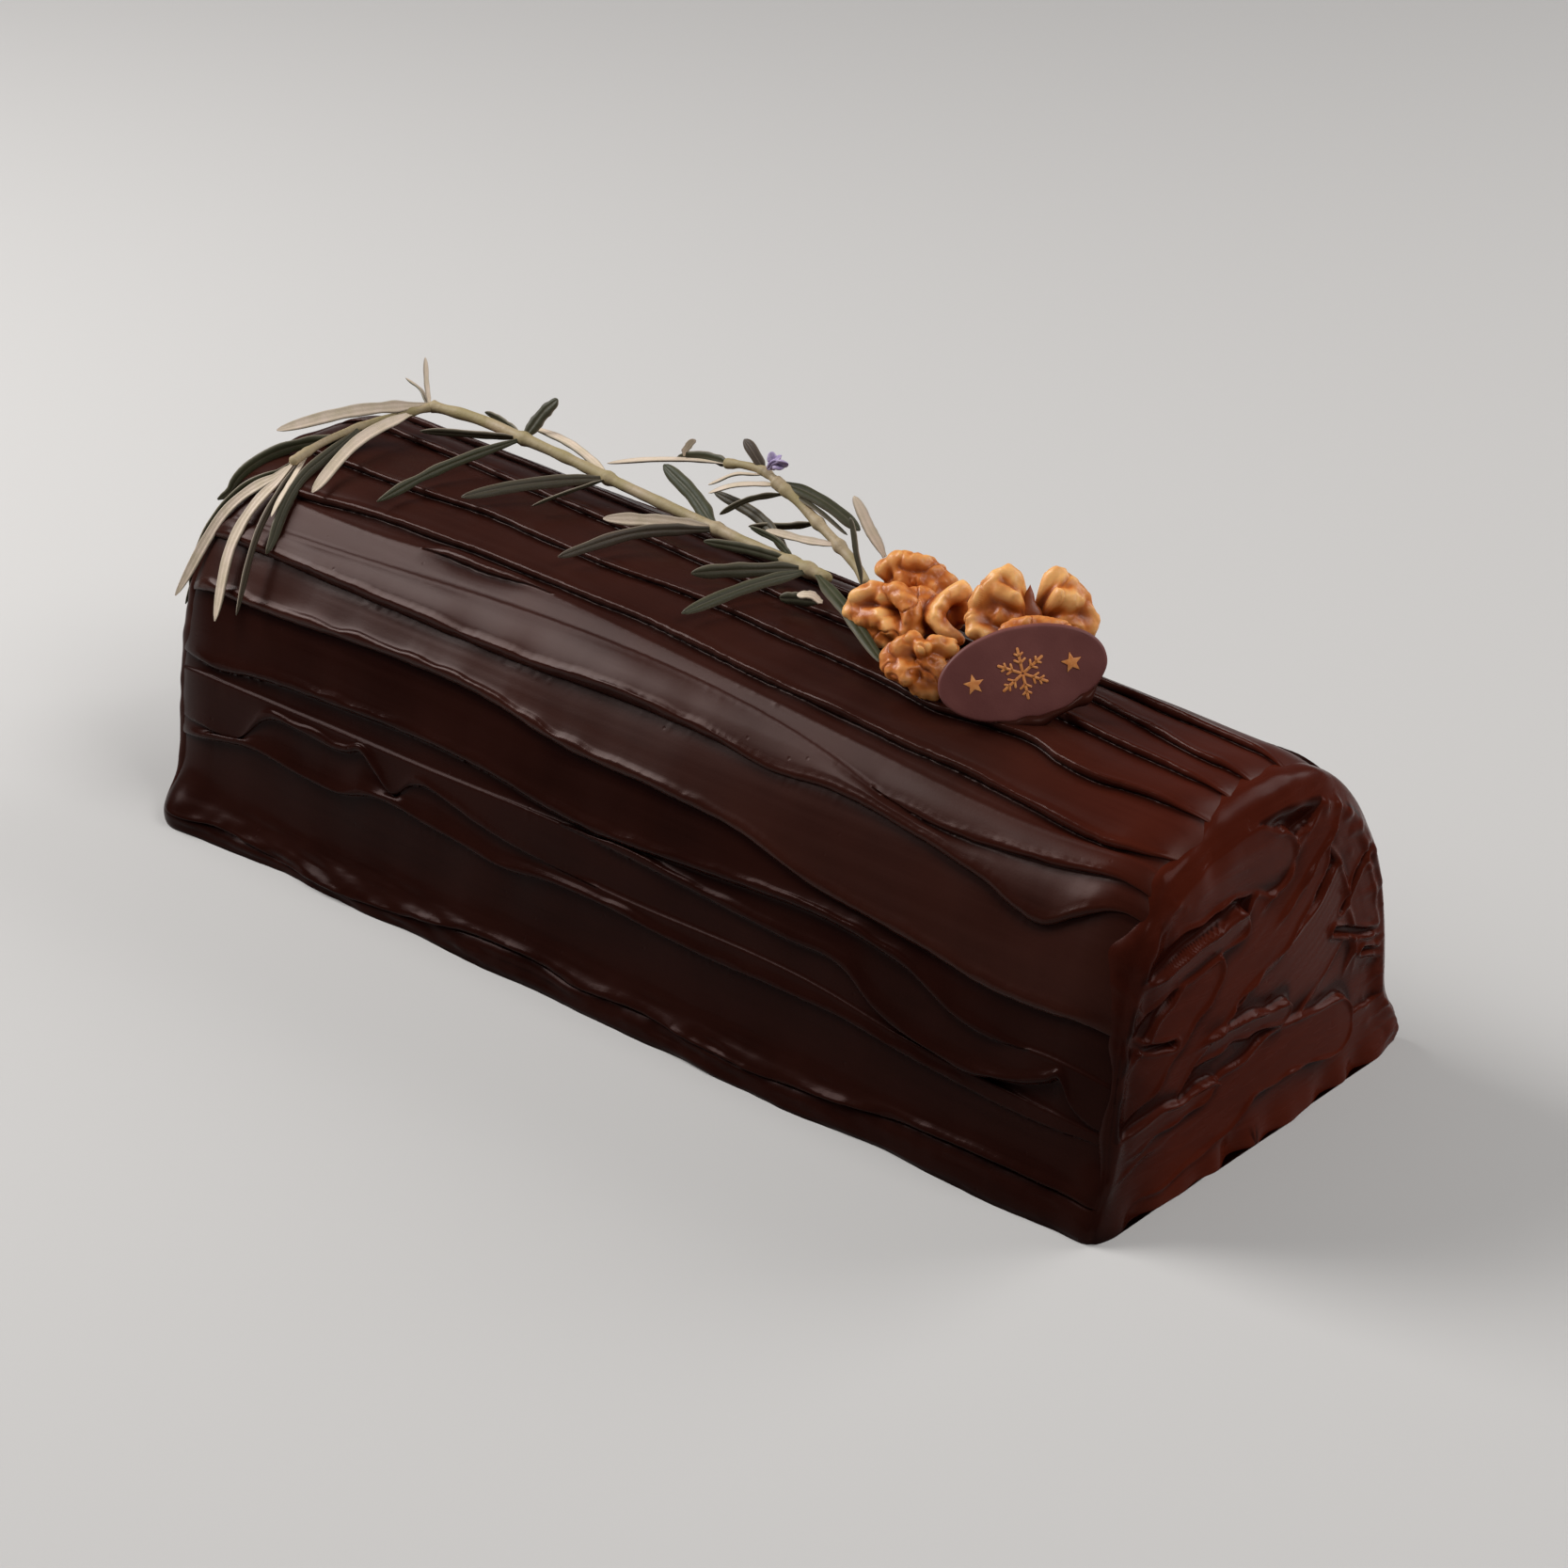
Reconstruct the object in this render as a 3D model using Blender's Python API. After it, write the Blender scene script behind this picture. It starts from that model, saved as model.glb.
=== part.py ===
"""Yule log cake: a chocolate roll coated with ganache in long palette-knife strokes, dressed with
walnut kernels, an oval chocolate plaque and two rosemary sprigs.

Frame: origin at the middle of the flat base, +Z up, +X along the log to its plastered end,
-Y to the long side that faces the eater. Sizes below are in millimetres; put() makes them metres.
Around the log a place is an angle in degrees: 0 at the front foot, 90 on top, 180 at the back foot.
"""

import math

import bmesh
import bpy
import numpy as np

MM = 0.001

# The log
HALF_LENGTH = 143.0
HALF_WIDTH = 50.5
HEIGHT = 87.0
HEIGHT_DROP = 2.0  # how much lower the +X end is than the middle, and higher the -X end
FRONT_SQUARENESS = 2.9
BACK_SQUARENESS = 2.75
FOOT_FLARE = 5.0  # how far the ganache spreads where it meets the board
FOOT_HEIGHT = 9.0
END_ROUNDING = 14.0
END_DROP = 0.10  # share of its height that a section loses at the very end
END_NARROWING = {"near_front": 0.07, "near_back": 0.02, "far": 0.09}
END_BULGE = 2.4

# The knife strokes: each edge is a lip where the stroke above stands proud of the one below.
# Its angles are read at these places along the log.
STROKE_PLACES = (-140, -100, -50, 0, 50, 100, 140)
STROKE_EDGES = (
    # angles at the places above, step height
    ((5, 3, 5, 6.5, 6, 9, 9), 2.0),
    ((25, 27.5, 28.5, 28, 26.6, 24, 22.5), 1.6),
    ((36.5, 36.3, 35, 31.5, 29, 27, 33), 1.3),
    ((40, 40.2, 40.8, 40.8, 37.6, 31, 37), 0.8),
    ((43.5, 44, 44.5, 42.5, 43.6, 39, 40), 1.6),
    ((54.5, 54, 54.4, 53, 50, 45.5, 45), 2.0),
    ((62.5, 62, 62.2, 62.5, 61.8, 59, 62), 2.6),
    ((73, 74, 74.5, 74.3, 72.4, 70.3, 71.5), 2.0),
    ((82.5, 82.2, 82.8, 82.6, 80.8, 79.2, 80.5), 1.6),
    ((93.5, 95, 94, 92, 90, 88.3, 88), 1.6),
    ((103, 103, 101, 99, 97.5, 95.5, 92.5), 1.6),
    ((113, 112, 110, 108, 106, 103.5, 101), 1.4),
    ((124, 122, 121, 119, 118, 115, 113), 1.8),
    ((134, 133, 132, 130, 128, 127, 127), 1.6),
    ((143, 144, 142, 141, 141, 139, 138), 1.8),
    ((154, 152, 153, 152, 151, 152, 152), 1.8),
    ((175, 176, 175, 174, 174, 172, 171), 2.0),
)
LIP_WIDTH = 0.5  # degrees taken by the step itself
EDGE_EASE = 0.7  # below 1 a stroke falls fastest just above its lip
END_RELIEF = 0.35  # the least share of a step that is left at the very end
STROKE_ROWS = (0.0, 0.3, 0.7, 1.0)  # across a stroke, from its lip to the next one
STATIONS_ALONG = 26
END_STATIONS = (0.0, 1.5, 4.0, 8.0)  # distances from each end, where the log is rounded
END_RINGS = (0.95, 0.7, 0.35)

# The toppings face the front right, a little upwards: their places are given to the right, up and
# outwards from one spot on top of the log.
SPOT = np.array((70.0, 0.0, 88.0))
FACING, TILT = math.radians(41.3), math.radians(27.5)

PLAQUE_CENTRE = (85.2, -7.0, 95.4)
PLAQUE_WIDTH, PLAQUE_HEIGHT, PLAQUE_THICKNESS = 36.5, 20.0, 2.6
PLAQUE_ROLL, PLAQUE_LEAN = math.radians(13), math.radians(20)
PLAQUE_SIDES = 40
PLAQUE_BEVEL = 0.5

# Walnut kernels: lobes as (right, up, outwards, radius) round the kernel's own depth
KERNEL_RINGS, KERNEL_SIDES = 13, 18
KERNEL_SOFTNESS = 1.6
KERNEL_REACH = (0.4, 22.0)  # nearest and farthest that its skin may be from its middle
REACH_STEP = 0.2
KERNELS = {
    "walnut_left": (-11.0, (
        (-24, 18, -3.5, 3.4), (-27, 13.5, -5, 2.8), (-20, 17.5, -0.5, 3.4), (-17, 13.5, 2.5, 3.4),
        (-22, 9.5, -1.5, 3.2), (-14, 12, 0.5, 4.0), (-9, 15, 5.5, 3.2), (-5.5, 17.5, 5.5, 3.4),
        (-10, 10.5, 5.5, 3.0), (-6, 9, 7, 3.0), (-20, 13, -5.5, 5.0), (-9, 13, 0, 5.0),
    )),
    "walnut_top": (-21.0, (
        (-20, 25, -2, 2.8), (-17, 24.5, 0, 3.2), (-12.5, 23.5, 1.5, 3.4), (-8.5, 21.5, 2.5, 3.0),
        (-14, 20, 0, 4.4), (-10, 17.5, 1, 4.0), (-17.5, 18.5, -1, 4.0), (-13, 15, -2, 5.0),
    )),
    "walnut_front": (5.0, (
        (-14, 6.5, 1.5, 2.6), (-19.5, 4.5, -1, 3.2), (-19, 1.5, 0, 3.2), (-16, 3.5, 2, 2.8),
        (-12, 2.5, 0, 4.2), (-11, -2, 1, 3.2), (-8, 4.5, 1, 2.6), (-14.5, 0.5, 0.5, 3.6),
    )),
    "walnut_right": (3.0, (
        (4, 20.5, 0, 3.4), (1.5, 18, 0, 3.4), (-1, 14.5, -1, 3.2), (-1.5, 10.5, -1, 3.0),
        (5, 16, 1, 2.6), (9.5, 15.5, 0, 3.4), (5, 11.5, -1, 4.4), (14.5, 20, 0, 3.0),
        (16.5, 16.5, 0, 3.8), (19.5, 13.5, 0, 3.4), (21, 10, 0, 2.8), (16, 10, 0, 4.4),
        (10, 9, -2, 6.0), (3, 4, -4, 5.0), (13, 3, -4, 6.0),
    )),
    "walnut_low": (12.0, (
        (4.5, 8.8, 0, 2.4), (8.5, 9.4, 0, 2.6), (12.5, 8.8, 0, 2.4), (8.5, 6, 0, 3.2),
    )),
}

# Rosemary: stems and leaves as points chosen by hand along each, from its root to its tip
STEM_RADIUS, TWIG_RADIUS = 1.3, 0.8
LEAF_WIDTH, LEAF_THICKNESS = 2.6, 1.1
LEAF_SHAPE = (0.45, 0.9, 1.0, 0.8, 0.3)  # share of its width at even steps from root to tip
SPRIGS = {
    "rosemary_long": {
        "stems": (
            (STEM_RADIUS, ((11, 11, 92), (-1, 12, 92), (-11, 13, 92), (-21, 14, 92), (-38, 15, 92.5),
                           (-57, 16, 93.5), (-72, 17, 94), (-86, 17, 95), (-102, 17, 95),
                           (-116, 15.5, 94.5))),
            (TWIG_RADIUS, ((-115, 16, 94.5), (-118, 9, 94), (-122, -3, 93), (-124, -14, 91.5),
                           (-124.5, -23, 89.5))),
        ),
        "leaves": (
            ((-116, 15, 95), (-123, -3, 97), (-130, -22, 96)),
            ((-117, 10, 94), (-115, -10, 93), (-112, -28, 87)),
            ((-116, 15, 94), (-121, 19, 99), (-124, 22, 103)),
            ((-86, 17, 95), (-91, -4, 93.5), (-94, -24, 88.5)),
            ((-86, 17, 95), (-99, 11, 94), (-109, 5, 93)),
            ((-86, 17, 95), (-84, 22, 100), (-81, 24, 103)),
            ((-57, 16, 94), (-73, 21, 95), (-88, 22, 94.5)),
            ((-57, 16, 94), (-68, 2, 93.5), (-77, -13, 91)),
            ((-21, 14, 92), (-30, 5, 94), (-39, -5, 94)),
            ((-21, 14, 92), (-31, -3, 92), (-39, -20, 89.5)),
            ((-21, 14, 92), (-34, 19, 95.5), (-45, 22, 97)),
            ((5, 12, 92), (-6, 9, 92.5), (-17, 5, 92)),
            ((9, 11, 92), (1, 1, 92), (-8, -9, 91)),
            ((10, 11, 92), (6, -6, 91), (1, -22, 88.5)),
            ((4, 12, 92), (-14, 20, 93.5), (-32, 25, 93)),
            ((-124.5, -22, 89.5), (-137, -36, 75), (-143, -46, 57)),
            ((-124.5, -22, 89.5), (-128, -39, 74), (-125, -49.5, 57)),
            ((-124, -20, 90), (-120, -38, 78), (-117, -49.5, 61)),
            ((-123, -8, 92.5), (-135, -18, 86), (-145, -29, 76)),
        ),
    },
    "rosemary_short": {
        "stems": (
            (STEM_RADIUS, ((19, 17, 92.5), (11, 20, 94), (2, 23, 95.5), (-7, 25, 98.5),
                           (-14, 26, 101))),
            (TWIG_RADIUS, ((-13, 26, 100.7), (-18, 27, 102.5), (-24, 27, 102.5),
                           (-30, 27, 101.5))),
        ),
        "leaves": (
            ((-29, 27, 101.5), (-47, 29, 98.5), (-65, 28, 95)),
            ((-28, 27, 101.5), (-38, 29, 101), (-47, 30, 99)),
            ((-17, 27, 102), (-24, 24, 99), (-30, 22.5, 98)),
            ((-18, 27, 102.5), (-22, 28, 104.5), (-26, 29, 106)),
            ((-13, 26, 101), (-1, 27, 99), (11, 27, 95)),
            ((15, 18.5, 93), (14, 18, 100), (16, 18, 106)),
        ),
    },
}
CLEARANCE = 0.3  # kept between touching pieces
TOPPING_GAP = 0.6  # from a coarse topping to the cake's coat, whose facets it has to miss
COAT_PROUD = 1.2  # how far the proudest lip stands off the log's smooth form
SPRIG_LIFT = 2.0  # least room under a stem or leaf, which rests on the lips

COLOURS = {  # base colour, roughness
    "ganache": ((0.045, 0.017, 0.012), 0.38),
    "plaque": ((0.085, 0.035, 0.038), 0.5),
    "walnut": ((0.62, 0.30, 0.12), 0.35),
    "rosemary": ((0.075, 0.11, 0.05), 0.6),
}


def put(points):
    """Millimetres to metres."""
    return [tuple(float(v) * MM for v in p) for p in points]


def smooth_through(x, places, values):
    """A smooth curve through (places, values): cubic pieces whose slopes are central differences."""
    places, values = np.asarray(places, float), np.asarray(values, float)
    slopes = np.gradient(values, places)
    i = np.clip(np.searchsorted(places, x) - 1, 0, len(places) - 2)
    span = places[i + 1] - places[i]
    t = np.clip((x - places[i]) / span, 0, 1)
    return (
        (1 + 2 * t) * (1 - t) ** 2 * values[i]
        + t * (1 - t) ** 2 * span * slopes[i]
        + t * t * (3 - 2 * t) * values[i + 1]
        + t * t * (t - 1) * span * slopes[i + 1]
    )


def log_section(x, angle, relief=0.0):
    """(y, z) of the coat: a rounded box in polar form about the base's middle, with squarer front
    shoulders, ends drawn in over a quarter circle and a flared foot. relief moves it outwards."""
    a = np.radians(angle)
    across, up = np.cos(a), np.sin(a)
    power = np.where(across > 0, FRONT_SQUARENESS, BACK_SQUARENESS)
    height = HEIGHT - HEIGHT_DROP * x / HALF_LENGTH
    radius = (
        (np.abs(across) / HALF_WIDTH) ** power + (np.abs(up) / height) ** power
    ) ** (-1 / power) + relief
    y, z = -radius * across, radius * up
    into = np.clip(1 - (HALF_LENGTH - np.abs(x)) / END_ROUNDING, 0, 1)
    drawn_in = 1 - np.sqrt(1 - into * into)
    near = np.where(y < 0, END_NARROWING["near_front"], END_NARROWING["near_back"])
    y = y * (1 - np.where(x > 0, near, END_NARROWING["far"]) * drawn_in)
    z = z * (1 - END_DROP * drawn_in)
    side = np.clip(np.abs(across) / 0.35, 0, 1)
    spread = FOOT_FLARE * np.exp(-((z / FOOT_HEIGHT) ** 2)) * side * side * (3 - 2 * side)
    return y - np.sign(across) * spread, z


def coat_rows(x):
    """(angles, reliefs) of the rows round the log at x. Each stroke falls from its proud lip, half a
    step out, to half a step in under the lip above it."""
    lips = [smooth_through(x, STROKE_PLACES, edge) for edge, _ in STROKE_EDGES]
    steps = [step for _, step in STROKE_EDGES]
    angles, reliefs = [0.0 * x], [0.0 * x]
    for k, lip in enumerate(lips[:-1]):
        low, high = lip + LIP_WIDTH / 2, lips[k + 1] - LIP_WIDTH / 2
        if k == 0:
            angles.append(lip - LIP_WIDTH / 2)
            reliefs.append(0 * x)
        for share in STROKE_ROWS:
            eased = share**EDGE_EASE
            angles.append(low + share * (high - low))
            reliefs.append(steps[k] / 2 * (1 - eased) - steps[k + 1] / 2 * eased + 0 * x)
    angles += [lips[-1] + LIP_WIDTH / 2, 180.0 + 0 * x]
    reliefs += [0.0 * x, 0.0 * x]
    return np.array(angles), np.array(reliefs)


def clearance(point):
    """How far a point stands off the log's smooth form, measured from the middle of the base."""
    x, y, z = point
    angle = math.degrees(math.atan2(z, -y))
    sy, sz = log_section(np.float64(np.clip(x, -HALF_LENGTH, HALF_LENGTH)), np.float64(angle))
    return math.hypot(y, z) - math.hypot(sy, sz)


def new_object(name, bm, material, collection):
    mesh = bpy.data.meshes.new(name)
    bm.to_mesh(mesh)
    bm.free()
    if material:
        mesh.materials.append(material)
    obj = bpy.data.objects.new(name, mesh)
    collection.objects.link(obj)
    return obj


def new_material(name):
    colour, roughness = COLOURS[name]
    material = bpy.data.materials.new(name)
    material.use_nodes = True
    shader = material.node_tree.nodes["Principled BSDF"]
    shader.inputs["Base Color"].default_value = (*colour, 1)
    shader.inputs["Roughness"].default_value = roughness
    shader.inputs["Metallic"].default_value = 0.0
    return material


def make_log(material, collection):
    """The coat as a grid of sections, each end as rings about the base's middle, a flat base."""
    inner = np.linspace(-HALF_LENGTH, HALF_LENGTH, STATIONS_ALONG + 2)[1:-1]
    inner = inner[np.abs(inner) < HALF_LENGTH - END_STATIONS[-1] - 3]
    ends = np.array(END_STATIONS)
    xs = np.concatenate([-HALF_LENGTH + ends, inner, HALF_LENGTH - ends[::-1]])
    angles, reliefs = coat_rows(xs)
    inset = np.clip((HALF_LENGTH - np.abs(xs)) / END_ROUNDING, END_RELIEF, 1)
    y, z = log_section(xs, angles, reliefs * inset)
    z[0] = z[-1] = 0.0
    bm = bmesh.new()
    rows = [
        [bm.verts.new(p) for p in put(zip(xs, y[k], z[k]))] for k in range(len(angles))
    ]
    for low, high in zip(rows, rows[1:]):
        for i in range(len(xs) - 1):
            bm.faces.new((low[i], low[i + 1], high[i + 1], high[i]))
    base = {}
    for side, column in ((-1, 0), (1, len(xs) - 1)):
        outer = [row[column] for row in rows]
        base[side] = [outer[0]]
        back = [outer[-1]]
        for ring in END_RINGS:
            x = side * (HALF_LENGTH + END_BULGE * math.sqrt(1 - ring * ring))
            inner_loop = [
                bm.verts.new(p)
                for p in put((x, ring * y[k, column], ring * z[k, column]) for k in range(len(rows)))
            ]
            for k in range(len(rows) - 1):
                bm.faces.new((outer[k], outer[k + 1], inner_loop[k + 1], inner_loop[k]))
            outer = inner_loop
            base[side].append(outer[0])
            back.append(outer[-1])
        pole = bm.verts.new(put([(side * (HALF_LENGTH + END_BULGE), 0, 0)])[0])
        for k in range(len(rows) - 1):
            bm.faces.new((outer[k], outer[k + 1], pole))
        base[side] += [pole] + back[::-1]
    bm.faces.new(base[1] + rows[-1][-2:0:-1] + base[-1][::-1] + rows[0][1:-1])
    bmesh.ops.recalc_face_normals(bm, faces=bm.faces)
    return new_object("cake_log", bm, material, collection)


def facing_frame(lean, roll=0.0):
    """(right, up, outwards) unit vectors of something that faces the front right, leaning back."""
    right = np.array((math.cos(FACING), math.sin(FACING), 0.0))
    outwards = np.array(
        (math.sin(FACING) * math.cos(lean), -math.cos(FACING) * math.cos(lean), math.sin(lean))
    )
    up = np.cross(outwards, right)
    return (
        right * math.cos(roll) + up * math.sin(roll),
        up * math.cos(roll) - right * math.sin(roll),
        outwards,
    )


def make_plaque(name, grow, material, collection):
    """An oval tablet with softened edges: three stacked ovals between two flat faces."""
    right, up, outwards = facing_frame(PLAQUE_LEAN, PLAQUE_ROLL)
    half = PLAQUE_THICKNESS / 2 + grow
    layers = (
        (-half, -PLAQUE_BEVEL),
        (-half + PLAQUE_BEVEL, 0),
        (half - PLAQUE_BEVEL, 0),
        (half, -PLAQUE_BEVEL),
    )
    turn = np.linspace(0, 2 * math.pi, PLAQUE_SIDES, endpoint=False)
    bm = bmesh.new()
    loops = []
    for depth, edge in layers:
        a, b = PLAQUE_WIDTH / 2 + edge + grow, PLAQUE_HEIGHT / 2 + edge + grow
        loop = (
            np.array(PLAQUE_CENTRE)
            + np.outer(a * np.cos(turn), right)
            + np.outer(b * np.sin(turn), up)
            + depth * outwards
        )
        loops.append([bm.verts.new(p) for p in put(loop)])
    for low, high in zip(loops, loops[1:]):
        for i in range(PLAQUE_SIDES):
            j = (i + 1) % PLAQUE_SIDES
            bm.faces.new((low[i], low[j], high[j], high[i]))
    bm.faces.new(loops[0][::-1])
    bm.faces.new(loops[-1])
    bmesh.ops.recalc_face_normals(bm, faces=bm.faces)
    return new_object(name, bm, material, collection)


def in_plaque(points, gap):
    right, up, outwards = facing_frame(PLAQUE_LEAN, PLAQUE_ROLL)
    off = points - np.array(PLAQUE_CENTRE)
    oval = (off @ right / (PLAQUE_WIDTH / 2 + gap)) ** 2 + (off @ up / (PLAQUE_HEIGHT / 2 + gap)) ** 2
    return (oval < 1) & (np.abs(off @ outwards) < PLAQUE_THICKNESS / 2 + gap)


def in_log(points, gap):
    x = np.clip(points[..., 0], -HALF_LENGTH, HALF_LENGTH)
    angle = np.degrees(np.arctan2(points[..., 2], -points[..., 1]))
    y, z = log_section(x, angle, COAT_PROUD)
    return np.hypot(points[..., 1], points[..., 2]) < np.hypot(y, z) + gap


def kernel_lobes(depth, lobes):
    right, up, outwards = facing_frame(TILT)
    centres = [SPOT + a * right + b * up + (depth + c) * outwards for a, b, c, _ in lobes]
    return np.array(centres), np.array([radius for *_, radius in lobes])


def in_kernel(points, centres, radii, gap=0.0):
    """Inside the soft union of the lobes: each adds exp(s - s (d / r)^2), and the skin is at 1."""
    away = np.linalg.norm(points[..., None, :] - centres, axis=-1) / (radii + gap)
    return np.exp(KERNEL_SOFTNESS * (1 - away * away)).sum(axis=-1) > 1


def make_kernels(material, collection):
    """Each kernel is a ball of rays from its middle, cut where a ray leaves the lobes or comes near
    the cake, the plaque or a kernel already placed."""
    right, up, outwards = facing_frame(TILT)
    rings = np.linspace(0, math.pi, KERNEL_RINGS)
    turn = np.linspace(0, 2 * math.pi, KERNEL_SIDES, endpoint=False)
    lat, lon = np.meshgrid(rings, turn, indexing="ij")
    rays = (
        np.cos(lat)[..., None] * right
        + (np.sin(lat) * np.cos(lon))[..., None] * up
        + (np.sin(lat) * np.sin(lon))[..., None] * outwards
    )
    placed = []
    for name, (depth, lobes) in KERNELS.items():
        centres, radii = kernel_lobes(depth, lobes)
        middle = (centres * radii[:, None]).sum(axis=0) / radii.sum()
        reach = np.arange(*KERNEL_REACH, REACH_STEP)
        points = middle + reach[:, None, None, None] * rays
        inside = in_kernel(points, centres, radii) & ~in_log(points, TOPPING_GAP)
        inside &= ~in_plaque(points, TOPPING_GAP)
        for other in placed:
            inside &= ~in_kernel(points, *other, gap=TOPPING_GAP)
        run = np.cumprod(inside, axis=0).sum(axis=0)
        length = reach[np.clip(run - 1, 0, None)]
        skin = middle + length[..., None] * rays
        bm = bmesh.new()
        poles = [bm.verts.new(put([skin[i].mean(axis=0)])[0]) for i in (0, -1)]
        loops = [[bm.verts.new(p) for p in put(skin[i])] for i in range(1, KERNEL_RINGS - 1)]
        for j in range(KERNEL_SIDES):
            k = (j + 1) % KERNEL_SIDES
            bm.faces.new((poles[0], loops[0][j], loops[0][k]))
            bm.faces.new((poles[1], loops[-1][k], loops[-1][j]))
            for low, high in zip(loops, loops[1:]):
                bm.faces.new((low[j], high[j], high[k], low[k]))
        bmesh.ops.recalc_face_normals(bm, faces=bm.faces)
        new_object(name, bm, material, collection)
        placed.append((centres, radii))


def through(points, count):
    """A smooth path through hand-chosen points, as count points at even spacing."""
    points = np.array(points, float)
    spans = np.linalg.norm(np.diff(points, axis=0), axis=1)
    at = np.concatenate([[0], np.cumsum(spans)])
    where = np.linspace(0, at[-1], count)
    return np.stack([smooth_through(where, at, points[:, i]) for i in range(3)], axis=1)


def lifted(path, room):
    """The path moved off the cake, away from the middle of its base, where it comes too near."""
    path = path.copy()
    for p in path:
        short = room - clearance(p)
        if short > 0:
            p[1:] *= 1 + short / np.hypot(p[1], p[2])
    return path


def make_stem(name, radius, points, collection):
    """A round tube on a poly curve, made a closed mesh."""
    path = lifted(through(points, 2 * len(points)), radius + SPRIG_LIFT)
    curve = bpy.data.curves.new(name, "CURVE")
    curve.dimensions = "3D"
    curve.bevel_depth = radius * MM
    curve.bevel_resolution = 1
    curve.use_fill_caps = True
    spline = curve.splines.new("POLY")
    spline.points.add(len(path) - 1)
    for point, place in zip(spline.points, put(path)):
        point.co = (*place, 1)
    tube = bpy.data.objects.new(name, curve)
    collection.objects.link(tube)
    bpy.context.view_layer.update()
    evaluated = tube.evaluated_get(bpy.context.evaluated_depsgraph_get())
    mesh = bpy.data.meshes.new_from_object(evaluated)
    bpy.data.objects.remove(tube)
    bm = bmesh.new()
    bm.from_mesh(mesh)
    bmesh.ops.remove_doubles(bm, verts=bm.verts, dist=1e-6)
    bmesh.ops.recalc_face_normals(bm, faces=bm.faces)
    return bm


def make_leaf(points):
    """A blade along a path: flat diamonds that widen to a third of its length and close at the tip."""
    path = lifted(through(points, len(LEAF_SHAPE)), LEAF_THICKNESS + SPRIG_LIFT)
    along = np.gradient(path, axis=0)
    along /= np.linalg.norm(along, axis=1)[:, None]
    across = np.cross(along, (0, 0, 1.0))
    across /= np.linalg.norm(across, axis=1)[:, None]
    out = np.cross(across, along)
    bm = bmesh.new()
    loops = []
    for p, side, lift, share in zip(path, across, out, LEAF_SHAPE):
        wide, thick = side * LEAF_WIDTH / 2 * share, lift * LEAF_THICKNESS / 2 * share
        loops.append([bm.verts.new(q) for q in put((p + wide, p + thick, p - wide, p - thick))])
    for low, high in zip(loops, loops[1:]):
        for i in range(4):
            bm.faces.new((low[i], low[(i + 1) % 4], high[(i + 1) % 4], high[i]))
    bm.faces.new(loops[0])
    bm.faces.new(loops[-1])
    bmesh.ops.recalc_face_normals(bm, faces=bm.faces)
    return bm


def make_sprig(name, sprig, material, parts, cutters):
    """Stem, twig and leaves joined into one solid, each piece reaching well into the one it grows on."""
    pieces = [make_stem(name, radius, points, cutters) for radius, points in sprig["stems"]]
    pieces += [make_leaf(points) for points in sprig["leaves"]]
    whole = new_object(name, pieces[0], material, parts)
    for number, piece in enumerate(pieces[1:]):
        branch = new_object(f"{name}_branch_{number}", piece, None, cutters)
        branch.hide_render = True
        branch.display_type = "WIRE"
        join = whole.modifiers.new("join", "BOOLEAN")
        join.operation = "UNION"
        join.object = branch


def main():
    for obj in list(bpy.data.objects):
        bpy.data.objects.remove(obj)
    parts = bpy.data.collections.new("yule log cake")
    cutters = bpy.data.collections.new("cutters")
    for collection in (parts, cutters):
        bpy.context.scene.collection.children.link(collection)
    materials = {name: new_material(name) for name in COLOURS}

    log = make_log(materials["ganache"], parts)
    make_plaque("plaque", 0.0, materials["plaque"], parts)
    slot = make_plaque("plaque_slot", CLEARANCE, None, cutters)
    slot.hide_render = True
    slot.display_type = "WIRE"
    cut = log.modifiers.new("plaque slot", "BOOLEAN")
    cut.operation = "DIFFERENCE"
    cut.object = slot
    make_kernels(materials["walnut"], parts)
    for name, sprig in SPRIGS.items():
        make_sprig(name, sprig, materials["rosemary"], parts, cutters)


main()
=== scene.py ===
"""Looks of a yule log cake: ganache pulled along a roll in palette-knife strokes, walnut kernels,
an oval chocolate plaque and two rosemary sprigs. Sizes are in millimetres until `piece` makes metres."""

import math

import bpy
import numpy as np
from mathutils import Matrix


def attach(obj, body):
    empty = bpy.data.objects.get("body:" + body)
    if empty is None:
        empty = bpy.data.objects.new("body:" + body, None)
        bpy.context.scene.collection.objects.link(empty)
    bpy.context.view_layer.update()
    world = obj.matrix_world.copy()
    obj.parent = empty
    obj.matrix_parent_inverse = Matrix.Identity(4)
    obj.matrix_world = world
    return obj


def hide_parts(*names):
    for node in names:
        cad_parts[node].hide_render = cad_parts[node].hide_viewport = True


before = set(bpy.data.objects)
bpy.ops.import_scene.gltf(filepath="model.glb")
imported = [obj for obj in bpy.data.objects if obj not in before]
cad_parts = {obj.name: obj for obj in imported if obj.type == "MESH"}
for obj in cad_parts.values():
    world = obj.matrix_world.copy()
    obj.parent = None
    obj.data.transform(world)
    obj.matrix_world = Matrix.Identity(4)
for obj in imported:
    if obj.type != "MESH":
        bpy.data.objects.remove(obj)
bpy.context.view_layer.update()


# ---------------------------------------------------------------------------------------------
# The coat along the sides: ganache spread lengthwise with a palette knife in overlapping strokes.
# Each stroke is a smooth facet whose lower edge stands proud as a rolled lip over the one below.
# A place on it is (x, angle): x along the log, 0 degrees at the front foot, 90 on top, 180 behind.
# ---------------------------------------------------------------------------------------------

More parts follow.
